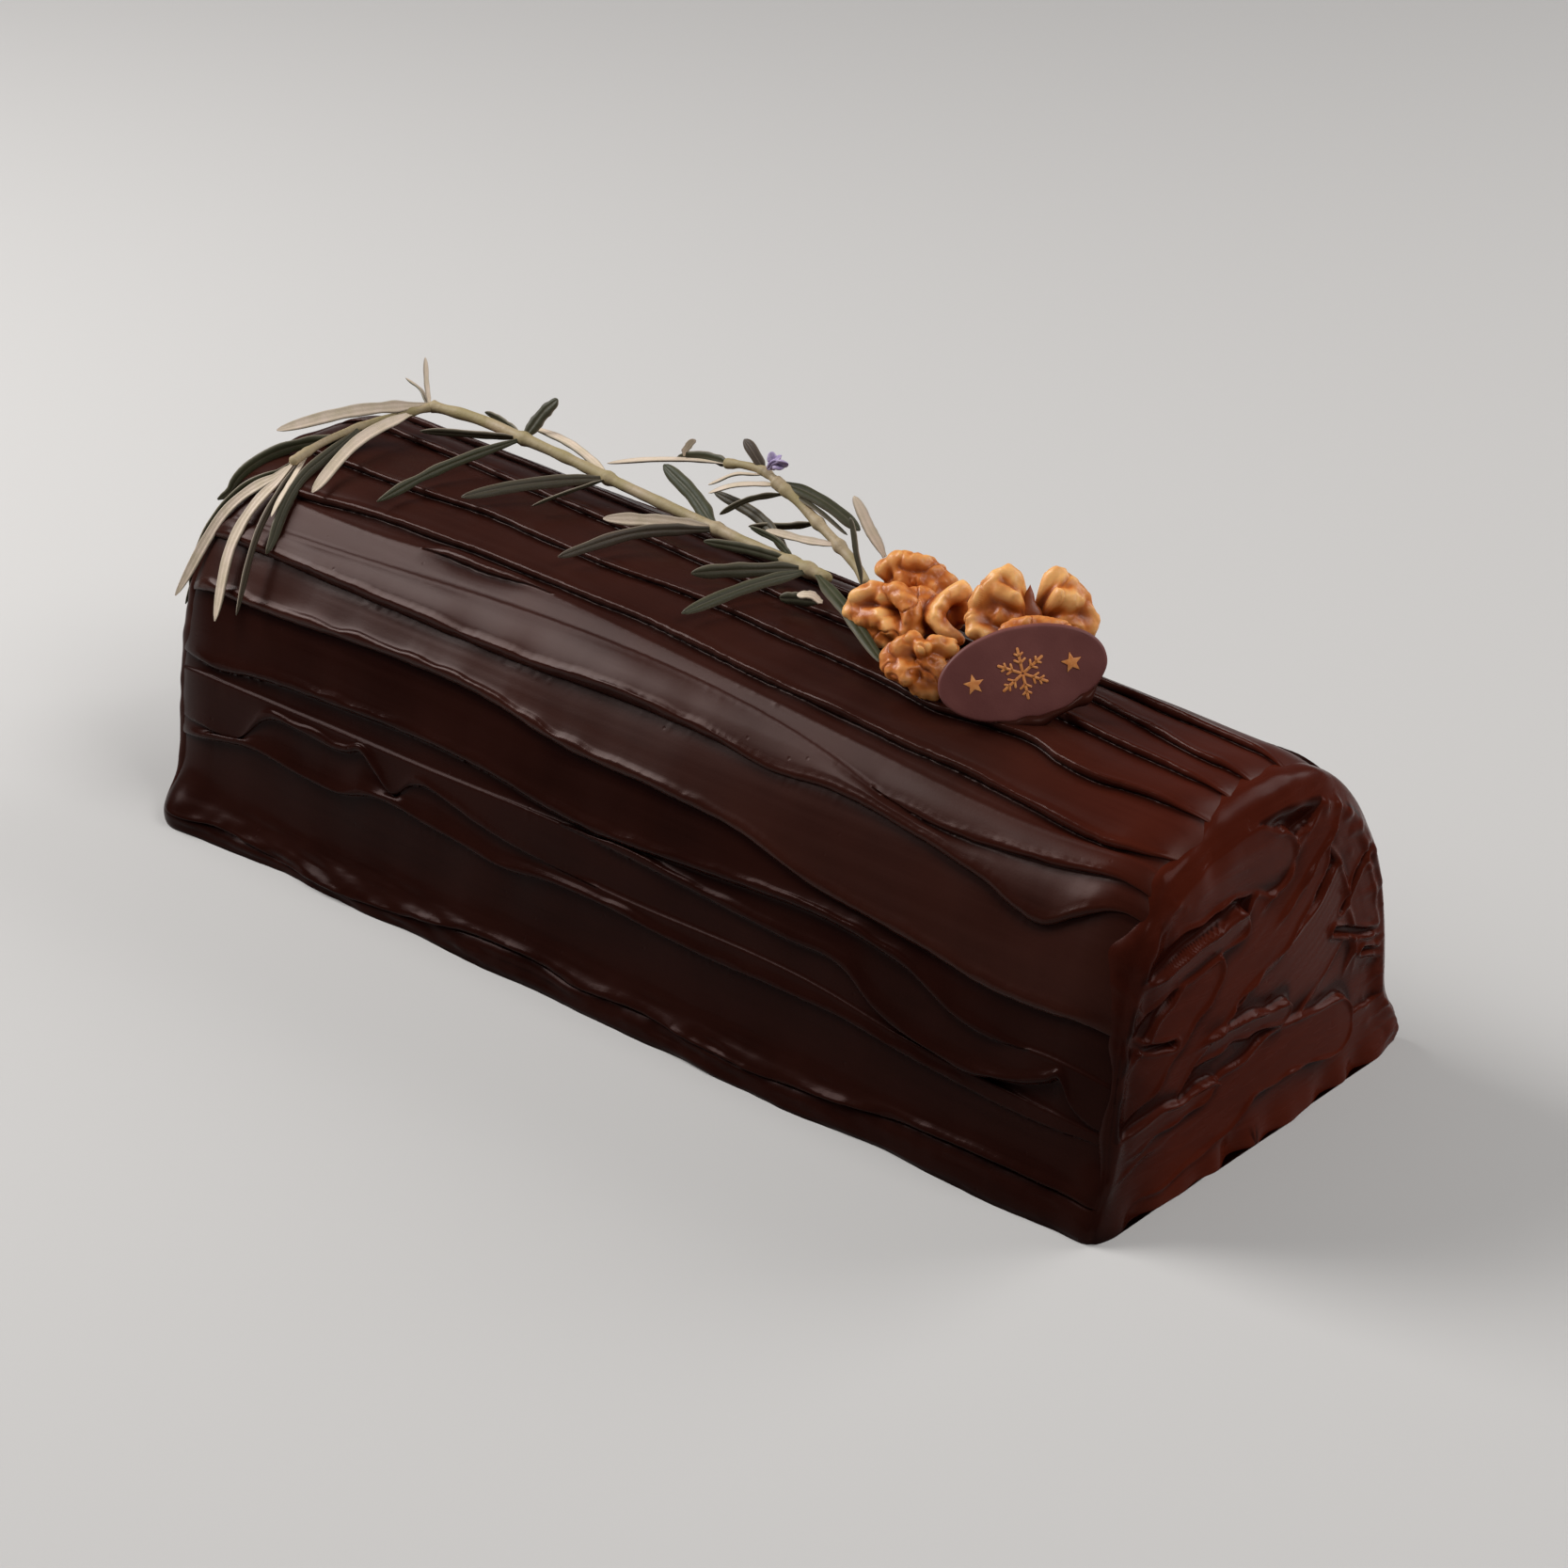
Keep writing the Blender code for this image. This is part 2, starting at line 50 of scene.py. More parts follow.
MM = 0.001
HALF_LENGTH = 143.0
HALF_WIDTH = 50.5
HEIGHT, HEIGHT_DROP = 87.0, 2.0
FRONT_SQUARENESS, BACK_SQUARENESS = 2.9, 2.75
FOOT_FLARE, FOOT_HEIGHT = 5.0, 9.0
END_ROUNDING, END_DROP = 14.0, 0.10
NEAR_FRONT_NARROWING, NEAR_BACK_NARROWING, FAR_NARROWING = 0.07, 0.02, 0.09


def smoothstep(low, high, value):
    """0 below low, 1 above high, and 3t^2 - 2t^3 between them."""
    t = np.clip((value - low) / (high - low), 0, 1)
    return t * t * (3 - 2 * t)


def smooth_through(x, points):
    """The smooth curve through (place, value) points: cubic pieces with central-difference slopes,
    level before the first and after the last."""
    places, values = np.array(points, float).T
    slopes = np.gradient(values, places)
    i = np.clip(np.searchsorted(places, x) - 1, 0, len(places) - 2)
    span = places[i + 1] - places[i]
    t = np.clip((x - places[i]) / span, 0, 1)
    return (
        (1 + 2 * t) * (1 - t) ** 2 * values[i]
        + t * (1 - t) ** 2 * span * slopes[i]
        + t * t * (3 - 2 * t) * values[i + 1]
        + t * t * (t - 1) * span * slopes[i + 1]
    )


def waves(u, v, size_u, size_v, seed, count=16):
    """An even random relief of about unit height: plane waves of random direction, pace and phase,
    added up. The sizes are roughly a bump's length along u and v."""
    rng = np.random.default_rng(seed)
    total = 0.0
    for _ in range(count):
        turn, phase, pace = rng.uniform(0, math.pi), rng.uniform(0, 2 * math.pi), rng.uniform(0.6, 1.5)
        along = math.cos(turn) * u / size_u + math.sin(turn) * v / size_v
        total = total + np.sin(2 * math.pi * pace * along + phase)
    return total * math.sqrt(2 / count)


def log_section(x, angle, relief=0.0):
    """(y, z) of the coat: a rounded box in polar form about the base's middle, with squarer front
    shoulders, ends drawn in over a quarter circle and a flared foot. relief moves it outwards."""
    a = np.radians(angle)
    across, up = np.cos(a), np.sin(a)
    power = np.where(across > 0, FRONT_SQUARENESS, BACK_SQUARENESS)
    height = HEIGHT - HEIGHT_DROP * x / HALF_LENGTH
    radius = ((np.abs(across) / HALF_WIDTH) ** power + (np.abs(up) / height) ** power) ** (-1 / power)
    radius = radius + relief
    y, z = -radius * across, radius * up
    into = np.clip(1 - (HALF_LENGTH - np.abs(x)) / END_ROUNDING, 0, 1)
    drawn_in = 1 - np.sqrt(1 - into * into)
    near = np.where(y < 0, NEAR_FRONT_NARROWING, NEAR_BACK_NARROWING)
    y = y * (1 - np.where(x > 0, near, FAR_NARROWING) * drawn_in)
    z = z * (1 - END_DROP * drawn_in)
    side = smoothstep(0, 0.35, np.abs(across))
    uneven = 1 + 0.09 * waves(x, 0 * x, 38, 9, 5)
    spread = FOOT_FLARE * np.exp(-((z / FOOT_HEIGHT) ** 2)) * uneven * side
    return y - np.sign(across) * spread, z


# Each stroke's lower edge: its angle at places along the log, and the height of its lip there.
STROKES = {
    "foot": (
        ((-143, 6), (-131, 5), (-120, 5.4), (-100, 3), (-72, 3.2), (-55, 4.7), (-40, 7), (-24, 8),
         (0, 6.4), (10, 7), (55, 6), (75, 7.4), (99, 9.3), (115, 10), (143, 9)),
        ((-143, 1.6), (0, 1.9), (143, 2.2)),
    ),
    "front low": (
        ((-143, 24.5), (-135, 25.2), (-113, 28.4), (-94, 27), (-83, 27), (-74, 29.3), (-50, 28.4),
         (-27, 26.7), (-16, 27.9), (6, 27.9), (20, 27), (40, 26.6), (69, 26.6), (90, 24.6), (125, 22.5),
         (143, 23.4)),
        ((-143, 2.3), (-60, 2.4), (20, 2.1), (80, 1.6), (110, 0.9), (143, 0.5)),
    ),
    "front hooks": (
        ((-143, 29.5), (-133, 29), (-118, 29.8), (-111, 35.4), (-96, 36.9), (-81, 36.9), (-77, 38),
         (-71, 35), (-66, 32.2), (-60, 35.7), (-45, 35.1), (-40, 34.1), (-20, 32.1), (0, 31.4),
         (70, 30.4), (84, 28.6), (143, 25.4)),
        ((-143, 0.5), (-130, 1.0), (-117, 0.3), (-109, 1.5), (-80, 1.7), (-70, 1.9), (-64, 0.9),
         (-55, 1.4), (-30, 1.2), (-8, 0.2), (0, 0.0), (143, 0.0)),
    ),
    "front sweep": (
        ((-143, 40), (-60, 40.2), (-10, 40.6), (24, 39.2), (55, 37.5), (73, 36.2), (81, 31.6),
         (87, 29.6), (99, 27.6), (108, 26.8), (114, 28), (122, 29.8), (128, 32.1), (131, 33.6),
         (134, 29.4), (138, 27), (143, 26.6)),
        ((-143, 0.0), (-12, 0.0), (0, 0.8), (50, 1.2), (80, 1.4), (96, 2.2), (112, 3.0), (126, 2.8),
         (134, 2.2), (143, 1.2)),
    ),
    "front middle": (
        ((-143, 44), (-129, 42.1), (-113, 43.5), (-80, 44.6), (-41, 44.6), (-17, 42.5), (0, 41.9),
         (17, 42.4), (45, 43.6), (68, 43.8), (81, 42.6), (91, 40.8), (97, 38.6), (103, 36.7),
         (112, 35.6), (125, 36.6), (143, 36.4)),
        ((-143, 1.9), (-60, 2.0), (-10, 2.2), (70, 2.3), (100, 1.9), (113, 0.8), (122, 0.0), (143, 0)),
    ),
    "front shoulder": (
        ((-143, 54.2), (-119, 54.5), (-31, 54.5), (-20, 53.3), (14, 52.6), (38, 51.4), (59, 48.2),
         (82, 46.6), (94, 45.6), (106, 44.2), (125, 44), (138, 45.1), (143, 45.4)),
        ((-143, 2.0), (-60, 2.2), (10, 1.8), (60, 1.5), (100, 1.8), (143, 1.6)),
    ),
    "shoulder": (
        ((-143, 62.6), (-117, 62.5), (-40, 62), (10, 62.6), (24, 62.2), (42, 61.2), (57, 61.8),
         (83, 60.4), (94, 59.4), (103, 58.4), (112, 56.4), (120, 56), (127, 58.6), (135, 61.4),
         (143, 62.6)),
        ((-143, 2.6), (-40, 2.9), (18, 2.7), (30, 1.5), (60, 1.5), (95, 1.7), (120, 1.9), (143, 1.2)),
    ),
    "upper tongue": (
        ((-143, 66), (55, 66), (75, 63.4), (88, 62.6), (97, 62.8), (108, 63.4), (118, 63.9), (135, 65.5),
         (143, 66)),
        ((-143, 0.0), (68, 0.0), (80, 0.9), (97, 1.3), (125, 1.3), (143, 0.8)),
    ),
    "chip": (
        ((-143, 71.6), (-80, 71.9), (-70, 72.5), (-56, 72.6), (-42, 73.2), (-30, 72.9), (20, 71),
         (60, 69.2), (110, 67.7), (143, 69)),
        ((-143, 0.0), (-76, 0.0), (-69, 1.1), (-50, 1.2), (-42, 0.3), (-36, 0.0), (143, 0.0)),
    ),
    "top first": (
        ((-143, 73), (-115, 72.9), (-98, 74), (-40, 74.9), (5, 74.2), (18, 73.5), (50, 72.3), (67, 71.6),
         (89, 71), (105, 70), (119, 69.2), (129, 69.3), (137, 70.8), (143, 73.7)),
        ((-143, 1.8), (-100, 2.0), (0, 1.7), (60, 2.0), (110, 2.3), (143, 1.6)),
    ),
    "top second": (
        ((-143, 82.1), (-95, 82.1), (-79, 83), (-29, 82.3), (-6, 83), (22, 82), (56, 80.6), (68, 79.4),
         (82, 80.4), (94, 80.8), (103, 79), (112, 78.2), (124, 79), (137, 79.8), (143, 82)),
        ((-143, 1.5), (0, 1.5), (70, 1.7), (100, 2.1), (143, 1.5)),
    ),
    "top third": (
        ((-143, 94.6), (-119, 95.3), (-84, 94.4), (-30, 92.8), (40, 90.2), (98, 88.3), (119, 87),
         (135, 86.5), (143, 87.8)),
        ((-143, 1.7), (0, 1.4), (90, 1.8), (143, 1.5)),
    ),
    "top fourth": (
        ((-143, 103.5), (-100, 103.4), (-30, 101), (40, 98.4), (93, 96.3), (107, 94.7), (127, 92.2),
         (143, 92.4)),
        ((-143, 1.8), (0, 1.4), (93, 1.9), (143, 1.5)),
    ),
    "top fifth": (
        ((-143, 112), (-100, 111.8), (-30, 109), (40, 106.4), (86, 104), (110, 102), (143, 99.6)),
        ((-143, 1.4), (0, 1.6), (90, 2.0), (143, 1.4)),
    ),
    "back shoulder": (
        ((-143, 124), (-90, 122), (-30, 120.6), (20, 119), (70, 117.4), (110, 114.6), (143, 112.8)),
        ((-143, 2.2), (-40, 1.8), (60, 2.4), (143, 1.8)),
    ),
    "back upper": (
        ((-143, 134), (-95, 133), (-45, 131), (10, 130.6), (60, 127.4), (100, 127.4), (143, 127)),
        ((-143, 1.6), (-30, 2.2), (50, 1.6), (143, 2.0)),
    ),
    "back middle": (
        ((-143, 143), (-100, 144.4), (-60, 142), (0, 141.6), (40, 140), (100, 139.4), (143, 138)),
        ((-143, 1.8), (0, 1.6), (90, 2.2), (143, 1.6)),
    ),
    "back hooks": (
        ((-143, 149), (-110, 149.6), (-70, 147), (-58, 145.4), (-40, 148), (0, 147.2), (143, 145.6)),
        ((-143, 0.0), (-112, 0.0), (-96, 1.2), (-62, 1.5), (-44, 0.8), (-20, 0.0), (143, 0.0)),
    ),
    "back low": (
        ((-143, 154), (-100, 152.4), (-50, 153.2), (0, 151.4), (50, 151.8), (100, 152.6), (143, 152)),
        ((-143, 1.8), (0, 2.1), (143, 1.7)),
    ),
    "back foot": (
        ((-143, 174), (-90, 175.4), (-40, 173.2), (10, 174.8), (60, 172.6), (110, 172.8), (143, 171)),
        ((-143, 1.8), (0, 2.0), (143, 2.2)),
    ),
}
# Across a lip, from the crease below it to its crown: millimetres up the side, share of its height.
# The nose hangs over the crease.
LIP = (
    (0.55, -0.52), (0.15, -0.50), (-0.22, -0.36), (-0.45, -0.12), (-0.48, 0.14), (-0.30, 0.38),
    (0.02, 0.53), (0.45, 0.58), (1.0, 0.55), (1.8, 0.45),
)
MARK_SHARE = 1.7  # makes a lip's share of height its mark, about 1 at the crown
CREASE_ROOM, TUCK = 0.6, 1.2  # a facet stops this short of the next crease; a piece tucks in this far
# Below 1 a facet falls fastest just above its lip, which leaves a ledge there; above 1 it is rounded
BAND_FALL = {"ganache_low": 0.55, "ganache_front": 0.5, "ganache_top": 1.6, "ganache_back": 0.6}
ROW_SPACING = {"ganache_low": 0.75, "ganache_front": 0.7, "ganache_top": 0.7, "ganache_back": 1.1}
STATION_SPACING = {"ganache_low": 0.62, "ganache_front": 0.62, "ganache_top": 0.62, "ganache_back": 0.85}


def piece(name, points, faces, material, slot, *replaced):
    """A mesh object from points in millimetres and faces; it rides on the root. Its slot is not used."""
    mesh = bpy.data.meshes.new(name)
    if not isinstance(faces, list):
        faces = faces.tolist()
    mesh.from_pydata((np.asarray(points).reshape(-1, 3) * MM).tolist(), [], faces)
    mesh.polygons.foreach_set("use_smooth", np.ones(len(mesh.polygons), bool))
    mesh.materials.append(material)
    mesh.update()
    obj = bpy.data.objects.new(name, mesh)
    bpy.context.scene.collection.objects.link(obj)
    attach(obj, "root")
    if replaced:
        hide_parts(*replaced)
    return obj


def marked(obj, name, values):
    """Gives each point of the piece a number that its material reads."""
    attribute = obj.data.attributes.new(name, "FLOAT", "POINT")
    attribute.data.foreach_set("value", np.asarray(values, np.float32).reshape(-1))
    return obj


def attribute(nodes, name):
    reader = nodes.new("ShaderNodeAttribute")
    reader.attribute_name = name
    return reader.outputs["Fac"]


def grid_faces(rows, columns, wrap_columns=False):
    """Quads of a grid of points numbered row by row, its last column joined to its first if asked."""
    row = np.arange(rows - 1)[:, None] * columns
    here = np.arange(columns if wrap_columns else columns - 1)[None, :]
    there = (here + 1) % columns
    quads = np.stack([row + here, row + there, row + columns + there, row + columns + here], axis=-1)
    return quads.reshape(-1, 4)


# Where ganache has gathered in a blob at the foot: (centre, reach, push)
BLOBS = (
    ((143, -52, 3), 6.0, (1.0, -2.6, 0)),
    ((141, -50, 11), 4.0, (1.2, -1.4, 0)),
    ((144, 54, 5), 6.5, (0.6, 4.2, 0)),
    ((-138, -54, 5), 7.5, (-0.8, -3.6, 0)),
    ((-143, 50, 4), 7.0, (-1.5, 2.2, 0)),
)


def swollen(points):
    """Points pushed outwards near each blob, by its push times exp(-(distance / reach)^2), and kept
    on or above the floor."""
    for centre, reach, push in BLOBS:
        away = np.linalg.norm(points - np.array(centre, float), axis=-1) / reach
        points = points + np.exp(-away * away)[..., None] * np.array(push)
    points[..., 2] = np.maximum(points[..., 2], 0)
    return points


def wandering(x, number):
    """Degrees that an edge strays from its path: slow waves with small quick ones on them."""
    return 0.055 * waves(x, 0 * x, 30, 9, 100 + number) + 0.022 * waves(x, 0 * x, 5, 9, 200 + number)


def edge_of(x, name):
    """A stroke's lower edge: (angle, lip height). Both stray a little wherever a lip stands."""
    number = list(STROKES).index(name)
    path, height = STROKES[name]
    tall = np.maximum(smooth_through(x, height), 0)
    live = smoothstep(0, 0.6, tall)
    angle = smooth_through(x, path) + wandering(x, number) * live
    return angle, tall * (1 + 0.08 * waves(x, 0 * x, 24, 9, 300 + number) * live)


def degree_length(x, angle):
    """Millimetres to a degree, round the side."""
    return np.radians(1.0) * np.hypot(*log_section(x, angle))


def stroke_rows(x, lower, upper, spacing, band_fall):
    """The rows from the crease under one stroke's lip to the crease under the next. A row is (angle,
    relief, share of the way across the facet or -1 off it, mark from -1 in a crease to 1 on a lip)."""
    (edge, tall), (next_edge, next_tall) = edge_of(x, lower), edge_of(x, upper)
    lively, next_lively = smoothstep(0.2, 1.2, tall), smoothstep(0.2, 1.2, next_tall)
    degree = degree_length(x, edge)
    bead = 0.68 + 0.08 * waves(x, 0 * x, 14, 9, 400 + list(STROKES).index(lower))
    bead = np.clip(bead, 0.4, 1.3) * smoothstep(0, 1.0, tall)
    rows = [
        (edge + up * bead / degree, share * tall, 0 * x - 1, MARK_SHARE * share * lively)
        for up, share in LIP
    ]
    start, stop = rows[-1][0], next_edge - CREASE_ROOM / degree
    count = max(3, int(np.mean(stop - start) * np.mean(degree) / spacing))
    for share in np.linspace(0, 1, count + 1)[1:]:
        fall = share**band_fall
        relief = LIP[-1][1] * tall * (1 - fall) + LIP[0][1] * next_tall * fall
        past_lip = share * (stop - start) * degree
        to_crease = (1 - share) * (stop - start) * degree
        # A mark below 0, close under the next lip, darkens the colour there as painted shade in the crease;
        # above 0, just past a lip, it tightens the gloss.
        mark = 0.76 * lively * np.exp(-past_lip / 0.8) - 0.9 * next_lively * np.exp(-to_crease / 0.9)
        rows.append((start + share * (stop - start), relief, 0 * x + share, mark))
    return rows


def front_base_rows(x):
    """The rows from the floor in front up to the foot stroke's crease."""
    foot = smooth_through(x, STROKES["foot"][0])
    return [(share * foot, 0 * x, 0 * x - 1, 0 * x) for share in np.linspace(0, 0.85, 6)]


def back_base_rows(x, name):
    """The rows over the last stroke's lip and down to the floor behind."""
    path, height = STROKES[name]
    foot, tall = smooth_through(x, path), smooth_through(x, height)
    rows = [(foot + up, share * tall, 0 * x - 1, MARK_SHARE * share + 0 * x) for up, share in LIP]
    top, crown = LIP[-1]
    for share in np.linspace(0, 1, 7)[1:]:
        rows.append((foot + top + share * (180 - top - foot), crown * tall * (1 - share), 0 * x - 1, 0 * x))
    return rows


def rows_of(name, x, names):
    """All the rows of one piece of coat, from its first named edge to its last, which it tucks under."""
    rows = front_base_rows(x) if names[0] == "base" else []
    names = ["foot" if names[0] == "base" else names[0]] + names[1:]
    for low, high in zip(names, names[1:]):
        if high == "base":
            return rows + back_base_rows(x, low)
        rows += stroke_rows(x, low, high, ROW_SPACING[name], BAND_FALL[name])
    edge, tall = edge_of(x, names[-1])
    return rows + [(edge + TUCK / degree_length(x, edge), -0.55 * tall, 0 * x - 1, 0 * x - 0.9)]


def roughened(stations, angles, reliefs, shares):
    """The reliefs with drag lines and slow unevenness on the facets, crumbs and grain at the lips, and
    a ragged foot, all of them waves along the log and round it."""
    y, z = log_section(stations, angles)
    around = np.radians(angles) * np.hypot(y, z)
    on_band = smoothstep(-0.2, 0.1, shares)
    drag = 0.005 * waves(stations, around, 150, 1.6, 11) + 0.010 * waves(stations, around, 160, 4.2, 12)
    slow = 0.06 * waves(stations, around, 90, 34, 13)
    patchy = smoothstep(0.1, 1.2, waves(stations, around, 44, 25, 14))
    crumbs = 0.09 * np.maximum(0, waves(stations, around, 2.2, 1.5, 15) - 0.5) * patchy
    crumbs = crumbs * smoothstep(0.80, 0.97, shares)
    grain = 0.018 * waves(stations, around, 2.2, 2.0, 16) * (1 - on_band)
    reliefs = reliefs + ((drag + slow) * on_band + crumbs + grain) * smoothstep(0, 8, z)
    ragged = 0.32 * waves(stations, around, 24, 3.2, 17) + 0.06 * waves(stations, around, 7, 2.2, 18)
    return reliefs + ragged * np.exp(-(((z - 4) / 5) ** 2))


def underside(x, edge, shares):
    """Rows flat on the floor, each a share of the way from the log's middle line to the coat's edge."""
    shares = np.array(shares)[:, None]
    return np.stack([x + 0 * shares, shares * edge, 0 * shares * x], axis=-1)


def coat(name, names, material, *replaced):
    """One piece of coat: the strokes between the first and last named edge, on a grid of stations
    along the log by rows round it. A piece that starts or ends at the base covers its underside."""
    x = np.linspace(-HALF_LENGTH, HALF_LENGTH, int(2 * HALF_LENGTH / STATION_SPACING[name]))
    angles, reliefs, shares, marks = np.array(rows_of(name, x, names)).transpose(1, 0, 2)
    stations = np.broadcast_to(x, angles.shape)
    reliefs = roughened(stations, angles, reliefs, shares)
    inset = np.clip((HALF_LENGTH - np.abs(stations)) / END_ROUNDING, 0.25, 1)
    y, z = log_section(stations, angles, reliefs * inset)
    points = swollen(np.stack([stations, y, z], axis=-1))
    inwards = np.linspace(1, 0, 5)[1:]
    unmarked = np.zeros((len(inwards), len(x)))
    if names[0] == "base":
        points = np.concatenate([underside(x, points[0, :, 1], inwards[::-1]), points])
        marks = np.concatenate([unmarked, marks])
    if names[-1] == "base":
        points = np.concatenate([points, underside(x, points[-1, :, 1], inwards)])
        marks = np.concatenate([marks, unmarked])
    faces = grid_faces(len(points), len(x))
    return marked(piece(name, points, faces, material, "ganache", *replaced), "lip", marks)


def shader_of(name):
    """A new node material: (material, nodes, links, its Principled shader)."""
    material = bpy.data.materials.new(name)
    material.use_nodes = True
    tree = material.node_tree
    return material, tree.nodes, tree.links, tree.nodes["Principled BSDF"]


def mapped(nodes, links, scale, turn=(0, 0, 0)):
    """Object coordinates turned, then stretched."""
    place = nodes.new("ShaderNodeTexCoord")
    mapping = nodes.new("ShaderNodeMapping")
    mapping.inputs["Scale"].default_value = scale
    mapping.inputs["Rotation"].default_value = turn
    links.new(place.outputs["Object"], mapping.inputs["Vector"])
    return mapping.outputs["Vector"]


def noise(nodes, links, vector, scale, detail=3.0, roughness=0.5):
    texture = nodes.new("ShaderNodeTexNoise")
    texture.inputs["Scale"].default_value = scale
    texture.inputs["Detail"].default_value = detail
    texture.inputs["Roughness"].default_value = roughness
    links.new(vector, texture.inputs["Vector"])
    return texture.outputs["Fac"]


def spread(nodes, links, value, low, high, to_low, to_high):
    """value from low..high made to_low..to_high."""
    ranged = nodes.new("ShaderNodeMapRange")
    for socket, number in zip(("From Min", "From Max", "To Min", "To Max"), (low, high, to_low, to_high)):
        ranged.inputs[socket].default_value = number
    links.new(value, ranged.inputs["Value"])
    return ranged.outputs["Result"]


def blend(nodes, links, factor, first, second):
    """A colour between two, each a colour or a socket."""
    mix = nodes.new("ShaderNodeMix")
    mix.data_type = "RGBA"
    links.new(factor, mix.inputs["Factor"])
    for socket, colour in ((mix.inputs[6], first), (mix.inputs[7], second)):
        if isinstance(colour, tuple):
            socket.default_value = (*colour, 1)
        else:
            links.new(colour, socket)
    return mix.outputs[2]


def raise_bumps(nodes, links, shader, layers):
    """Bump nodes in a row, one for each (height, distance in mm), into the shader's normal."""
    normal = None
    for height, distance in layers:
        bump = nodes.new("ShaderNodeBump")
        bump.inputs["Distance"].default_value = distance * MM
        bump.inputs["Strength"].default_value = 1.0
        links.new(height, bump.inputs["Height"])
        if normal:
            links.new(normal, bump.inputs["Normal"])
        normal = bump.outputs["Normal"]
    links.new(normal, shader.inputs["Normal"])


def region(nodes, links, axis, low, high):
    """0 to 1 as an object coordinate goes from low to high, in millimetres."""
    place = nodes.new("ShaderNodeTexCoord")
    split = nodes.new("ShaderNodeSeparateXYZ")
    links.new(place.outputs["Object"], split.inputs["Vector"])
    return spread(nodes, links, split.outputs[axis], low * MM, high * MM, 0, 1)


def product(nodes, links, first, second):
    times = nodes.new("ShaderNodeMath")
    times.operation = "MULTIPLY"
    links.new(first, times.inputs[0])
    links.new(second, times.inputs[1])
    return times.outputs["Value"]


def ganache(name, browns, gloss, roughness, stretch, turn=(0, 0, 0), near=None, tint=(1.0, 0.68, 0.60),
            coat_weight=0.015):
    """Ganache that has been dragged one way: streaks of two browns, painted shade that darkens the
    creases, a satin sheen, tighter on the lips, faint drag lines and a few burst bubbles. near is
    (browns, a function that makes the share of them), for a coat whose colour changes along it;
    here they are the redder browns of a painted reflection."""
    material, nodes, links, shader = shader_of(name)
    drawn = mapped(nodes, links, stretch, turn)
    plain = mapped(nodes, links, (1, 1, 1))
    streaks = noise(nodes, links, drawn, 420, 3, 0.6)
    clouds = noise(nodes, links, plain, 38, 3, 0.5)
    grain = noise(nodes, links, plain, 2100, 3, 0.6)

    def mixed(dark, light):
        tone = blend(nodes, links, spread(nodes, links, clouds, 0.35, 0.68, 0, 1), dark, light)
        return blend(nodes, links, spread(nodes, links, streaks, 0.3, 0.75, 0, 0.55), tone, light)

    tone = mixed(*browns)
    if near:
        tone = blend(nodes, links, near[1](nodes, links), tone, mixed(*near[0]))
    lip = attribute(nodes, "lip")
    # Painted shade: where the lip mark falls below 0, in the creases, the colour darkens towards
    # CREASE_SHADE_BROWN.
    tone = blend(nodes, links, spread(nodes, links, lip, -0.1, -0.7, 0, 0.7), tone, CREASE_SHADE_BROWN)
    links.new(tone, shader.inputs["Base Color"])
    rough = spread(nodes, links, streaks, 0.25, 0.75, roughness - 0.04, roughness + 0.05)
    rough = product(nodes, links, rough, spread(nodes, links, lip, 0.1, 0.8, 1, 0.6))
    links.new(rough, shader.inputs["Roughness"])
    shader.inputs["Specular IOR Level"].default_value = gloss
    shader.inputs["Specular Tint"].default_value = (*tint, 1)
    shader.inputs["Coat Weight"].default_value = coat_weight
    shader.inputs["Coat Roughness"].default_value = 0.18
    bubbles = nodes.new("ShaderNodeTexVoronoi")
    bubbles.inputs["Scale"].default_value = 130
    links.new(plain, bubbles.inputs["Vector"])
    pits = spread(nodes, links, bubbles.outputs["Distance"], 0.02, 0.07, 0, 1)
    raise_bumps(nodes, links, shader, ((streaks, 0.015), (grain, 0.014), (pits, 0.05)))
    return material


# Painted shade laid into the creases.
CREASE_SHADE_BROWN = (0.0060, 0.0012, 0.0008)
# Painted shade: SHADED_BROWNS are the ganache's browns darkened as if in shadow, for the low front, the
# back and the near end's front edge.
SHADED_BROWNS = (0.0110, 0.0026, 0.0016), (0.0180, 0.0046, 0.0030)
TOP_BROWNS = (0.0190, 0.0044, 0.0026), (0.0300, 0.0076, 0.0046)
# Painted reflection: END_RED_REFLECTION_BROWNS are the ganache's browns reddened as if red surroundings
# were reflected in them, for the ends and the top near the near end.
END_RED_REFLECTION_BROWNS = (0.0470, 0.0068, 0.0030), (0.0700, 0.0112, 0.0050)
ALONG = (0.03, 1, 1)


# The share of the redder browns of painted reflection: towards the near end, high on the side and over the
# top.
def near_end(nodes, links):
    return product(nodes, links, region(nodes, links, 0, 85, 143), region(nodes, links, 2, 66, 80))


# The low front and the back take the darker browns of painted shade.
low_ganache = ganache("ganache front", SHADED_BROWNS, 0.045, 0.30, ALONG, tint=(1.0, 0.55, 0.48))
side_ganache = ganache("ganache side", TOP_BROWNS, 0.11, 0.38, ALONG, near=(END_RED_REFLECTION_BROWNS, near_end))
top_ganache = ganache("ganache top", TOP_BROWNS, 0.10, 0.36, ALONG, near=(END_RED_REFLECTION_BROWNS, near_end))
coat("ganache_low", ["base", "front low", "front hooks", "front sweep", "front middle", "front shoulder"],
     low_ganache, "cake_log")
coat("ganache_front", ["front shoulder", "shoulder"], side_ganache, "cake_log")
coat("ganache_top", ["shoulder", "upper tongue", "chip", "top first", "top second", "top third",
                     "top fourth", "top fifth", "back shoulder"], top_ganache, "cake_log")
coat("ganache_back", ["back shoulder", "back upper", "back middle", "back hooks", "back low", "back foot",
                      "base"], low_ganache, "cake_log")


